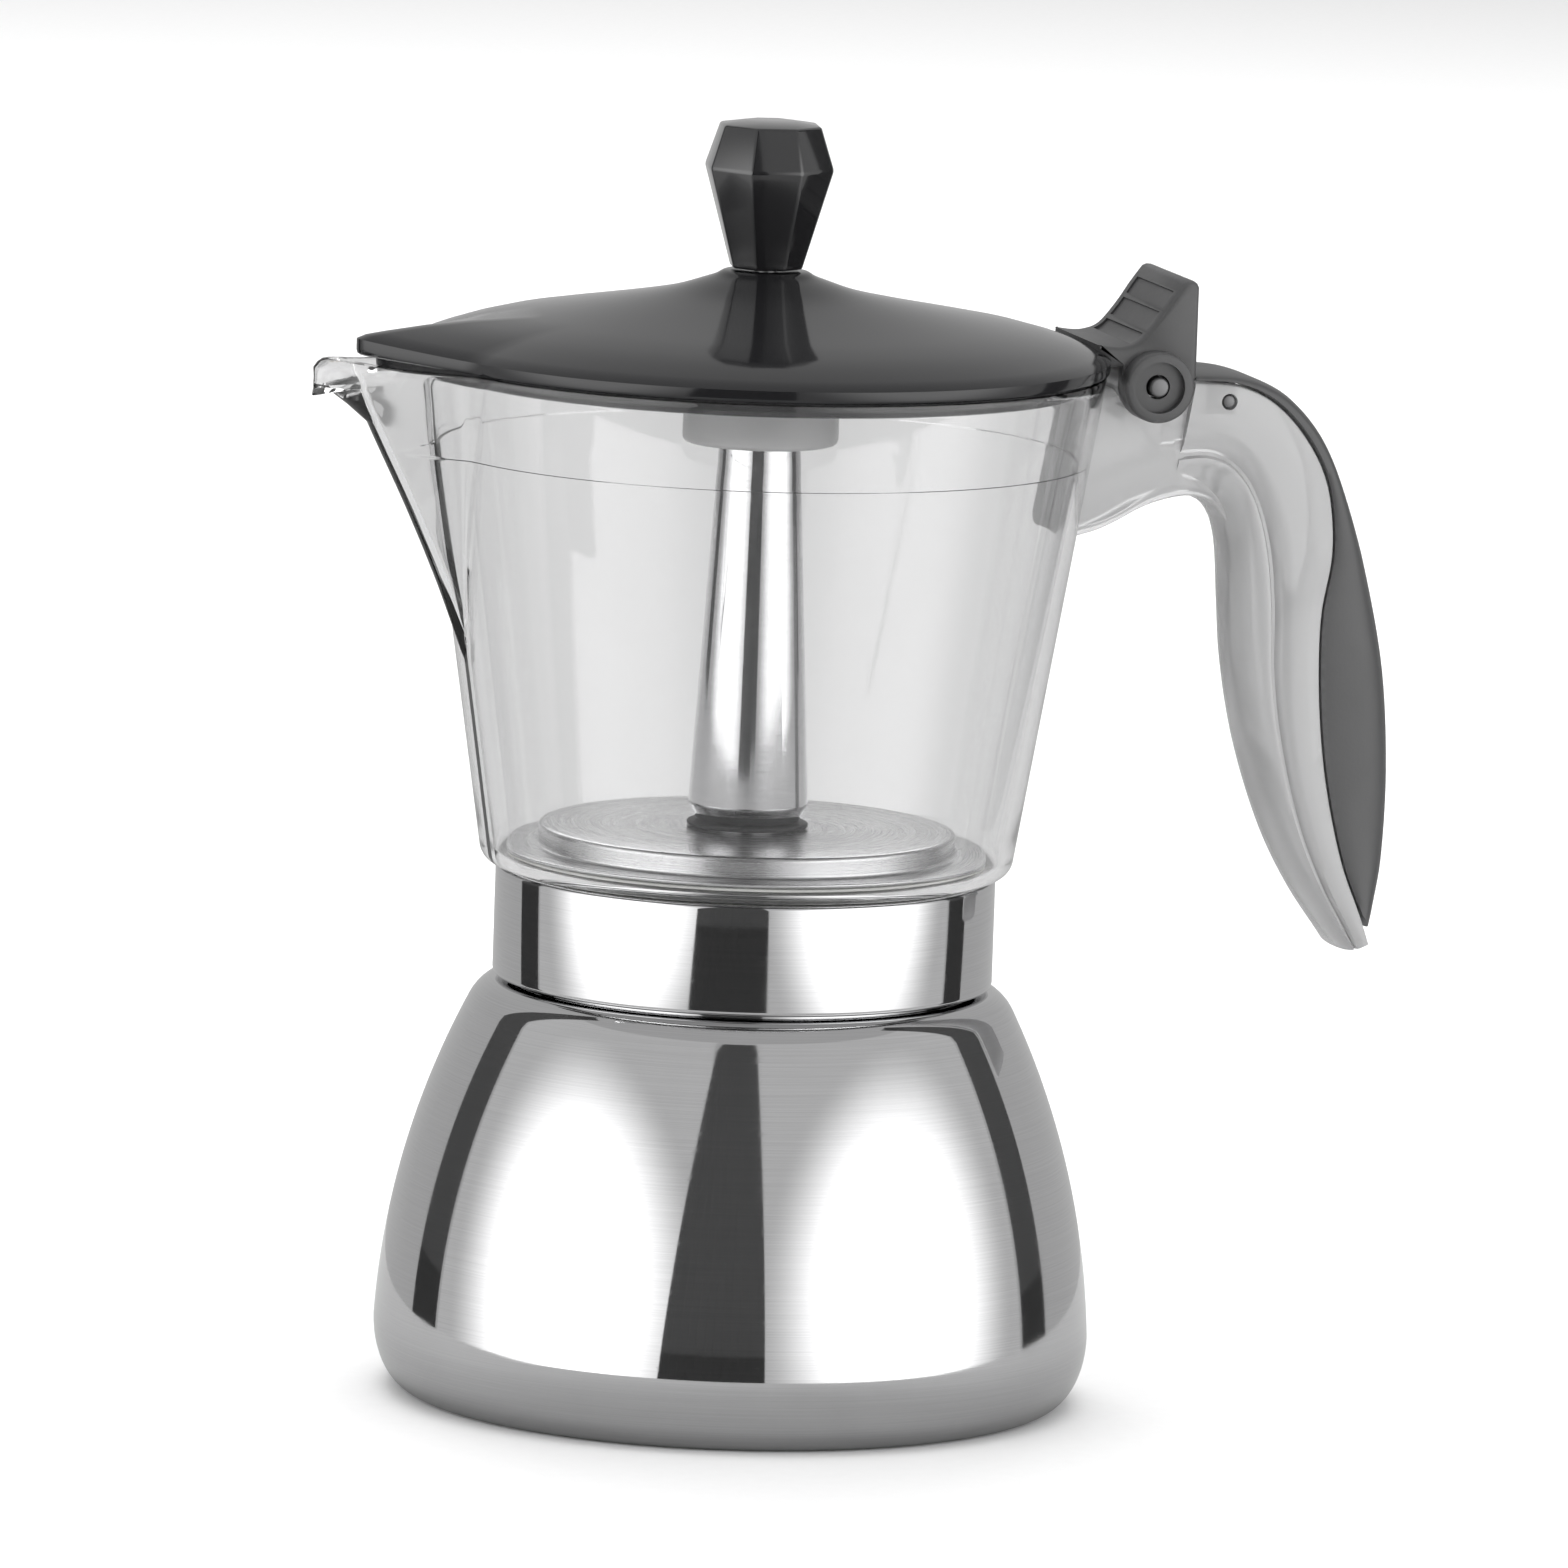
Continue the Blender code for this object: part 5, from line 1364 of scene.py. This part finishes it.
def stage_object(name, work, finish, **seen):
    """A piece of the stage, with what sees it as visible_camera=False and the like."""
    obj = as_object(name, work)
    obj.data.materials.append(finish)
    for key, value in seen.items():
        setattr(obj, key, value)


def panel_round(foot, top, distance, low, high):
    """An upright panel round the pot, between two directions at its foot and two at its top."""
    work = bmesh.new()
    count = 12
    edges = []
    for i in range(count + 1):
        share = i / count
        edges.append([work.verts.new(toward(start + (end - start) * share, distance, z))
                      for (start, end), z in ((foot, low), (top, high))])
    for (a, b), (c, d) in zip(edges, edges[1:]):
        work.faces.new((a, c, d, b))
    return work


def lamp(name, place, size, power):
    data = bpy.data.lights.new(name, "AREA")
    data.shape = "RECTANGLE"
    data.size, data.size_y = size
    data.energy = power
    obj = bpy.data.objects.new(name, data)
    bpy.context.scene.collection.objects.link(obj)
    obj.location = place
    aim = Vector((0, 0, 0.08)) - Vector(place)
    obj.rotation_euler = aim.to_track_quat("-Z", "Y").to_euler()
    obj.visible_glossy = False


def make_world():
    """An even white surround, brighter to the camera and darker to mirrors."""
    world = bpy.data.worlds.new("studio")
    bpy.context.scene.world = world
    world.use_nodes = True
    tree = world.node_tree
    path = add(tree, "ShaderNodeLightPath").outputs
    level = maths(tree, "ADD", WORLD_LIGHT, maths(tree, "MULTIPLY", path["Is Camera Ray"], 0.50))
    level = maths(tree, "ADD", level, maths(tree, "MULTIPLY", mirror_only(tree, path), -0.1))
    ground = tree.nodes["Background"]
    tree.links.new(level, ground.inputs["Strength"])
    ground.inputs["Color"].default_value = (1.0, 1.0, 1.0, 1.0)


def make_stage():
    """A pale table, a soft studio round it, and the camera."""
    make_camera()
    bpy.context.scene.view_settings.view_transform = "Standard"
    make_world()
    table = stage_finish("table_top", colours().table, 0.5, 0.55)
    edge = sizes().table_radius
    stage_object("table_top", lathe([(0.0, 0.0), (0.1, 0.0), (edge, 0.0)], 96, False), table)
    beyond = [(radius, -0.0001) for radius in (edge, 2.0, 7.0)]
    stage_object("table_surround", lathe(beyond, 96, False), table, visible_glossy=False)
    dark = stage_finish("dark_card", 0.07, 0.07, 0.07)
    for name, foot, top, distance, low, high in CARDS:
        stage_object(name, panel_round(foot, top, distance, low, high), dark,
                     visible_camera=False, visible_shadow=False, visible_diffuse=False)
    for name, turn, spread in SOFTBOXES:
        cloth = softbox_finish(name, toward(turn, 1.3, 0.16), 2.6)
        stage_object(name, panel_round(spread, spread, 1.3, -0.7, 1.7), cloth,
                     visible_camera=False, visible_shadow=False)
    lamp("top_lamp", (0.1, 0.25, 1.7), (1.5, 1.5), 19.0)
    lamp("back_lamp", (0.3, 1.6, 1.2), (1.6, 1.0), 12.0)


# ---- add-on

class MOKA_OT_finishes(bpy.types.Operator):
    """Makes every material of the pot"""

    bl_idname = "moka.finishes"
    bl_label = "Finishes"

    def execute(self, context):
        make_finishes()
        return {"FINISHED"}


class MOKA_OT_stage(bpy.types.Operator):
    """Makes the table, the studio lights and the camera"""

    bl_idname = "moka.stage"
    bl_label = "Stage"

    def execute(self, context):
        make_stage()
        return {"FINISHED"}


class MOKA_OT_boiler(bpy.types.Operator):
    """Makes the polished boiler"""

    bl_idname = "moka.boiler"
    bl_label = "Boiler"

    def execute(self, context):
        make_boiler()
        return {"FINISHED"}


class MOKA_OT_valve(bpy.types.Operator):
    """Makes the brass safety valve"""

    bl_idname = "moka.valve"
    bl_label = "Safety valve"

    def execute(self, context):
        make_valve()
        return {"FINISHED"}


class MOKA_OT_funnel(bpy.types.Operator):
    """Makes the coffee funnel and its sieve"""

    bl_idname = "moka.funnel"
    bl_label = "Funnel"

    def execute(self, context):
        make_funnel()
        return {"FINISHED"}


class MOKA_OT_filter(bpy.types.Operator):
    """Makes the upper sieve and its gasket"""

    bl_idname = "moka.filter"
    bl_label = "Filter"

    def execute(self, context):
        make_filter()
        return {"FINISHED"}


class MOKA_OT_collar(bpy.types.Operator):
    """Makes the threaded collar"""

    bl_idname = "moka.collar"
    bl_label = "Collar"

    def execute(self, context):
        make_collar()
        return {"FINISHED"}


class MOKA_OT_floor_plate(bpy.types.Operator):
    """Makes the plate in the jug's bottom and its seal"""

    bl_idname = "moka.floor_plate"
    bl_label = "Floor plate"

    def execute(self, context):
        make_floor_plate()
        return {"FINISHED"}


class MOKA_OT_column(bpy.types.Operator):
    """Makes the column, its seal and its nut"""

    bl_idname = "moka.column"
    bl_label = "Column"

    def execute(self, context):
        make_column()
        return {"FINISHED"}


class MOKA_OT_jug(bpy.types.Operator):
    """Makes the clear jug with its spout"""

    bl_idname = "moka.jug"
    bl_label = "Jug"

    def execute(self, context):
        make_jug()
        return {"FINISHED"}


class MOKA_OT_grip(bpy.types.Operator):
    """Makes the milky grip"""

    bl_idname = "moka.grip"
    bl_label = "Grip"

    def execute(self, context):
        make_grip()
        return {"FINISHED"}


class MOKA_OT_insert(bpy.types.Operator):
    """Makes the black back of the grip and its pin"""

    bl_idname = "moka.insert"
    bl_label = "Grip insert"

    def execute(self, context):
        make_insert()
        return {"FINISHED"}


class MOKA_OT_lid(bpy.types.Operator):
    """Makes the lid, its lug and its hinge pin"""

    bl_idname = "moka.lid"
    bl_label = "Lid"

    def execute(self, context):
        make_lid()
        return {"FINISHED"}


class MOKA_OT_knob(bpy.types.Operator):
    """Makes the eight-sided knob"""

    bl_idname = "moka.knob"
    bl_label = "Knob"

    def execute(self, context):
        make_knob()
        return {"FINISHED"}


class MOKA_OT_guard(bpy.types.Operator):
    """Makes the splash guard and its screw"""

    bl_idname = "moka.guard"
    bl_label = "Splash guard"

    def execute(self, context):
        make_guard()
        return {"FINISHED"}


OPERATORS = [
    MOKA_OT_finishes, MOKA_OT_stage, MOKA_OT_boiler, MOKA_OT_valve, MOKA_OT_funnel, MOKA_OT_filter,
    MOKA_OT_collar, MOKA_OT_floor_plate, MOKA_OT_column, MOKA_OT_jug, MOKA_OT_grip, MOKA_OT_insert,
    MOKA_OT_lid, MOKA_OT_knob, MOKA_OT_guard,
]


class MOKA_PT_pot(bpy.types.Panel):
    """Lists the pot's sizes, colours and pieces"""

    bl_idname = "MOKA_PT_pot"
    bl_label = "Moka pot"
    bl_space_type = "VIEW_3D"
    bl_region_type = "UI"
    bl_category = "Moka pot"

    def draw(self, context):
        for holder in (sizes(), colours()):
            box = self.layout.box()
            for name in holder.__annotations__:
                box.prop(holder, name)
        for each in OPERATORS:
            self.layout.operator(each.bl_idname)


CLASSES = [PotSizes, PotColours, *OPERATORS, MOKA_PT_pot]


def register():
    for each in CLASSES:
        bpy.utils.register_class(each)
    bpy.types.Scene.moka_sizes = PointerProperty(type=PotSizes)
    bpy.types.Scene.moka_colours = PointerProperty(type=PotColours)


def unregister():
    del bpy.types.Scene.moka_colours
    del bpy.types.Scene.moka_sizes
    for each in reversed(CLASSES):
        bpy.utils.unregister_class(each)


def main():
    register()
    for each in OPERATORS:
        getattr(bpy.ops.moka, each.bl_idname.split(".")[1])()


if __name__ == "__main__":
    main()
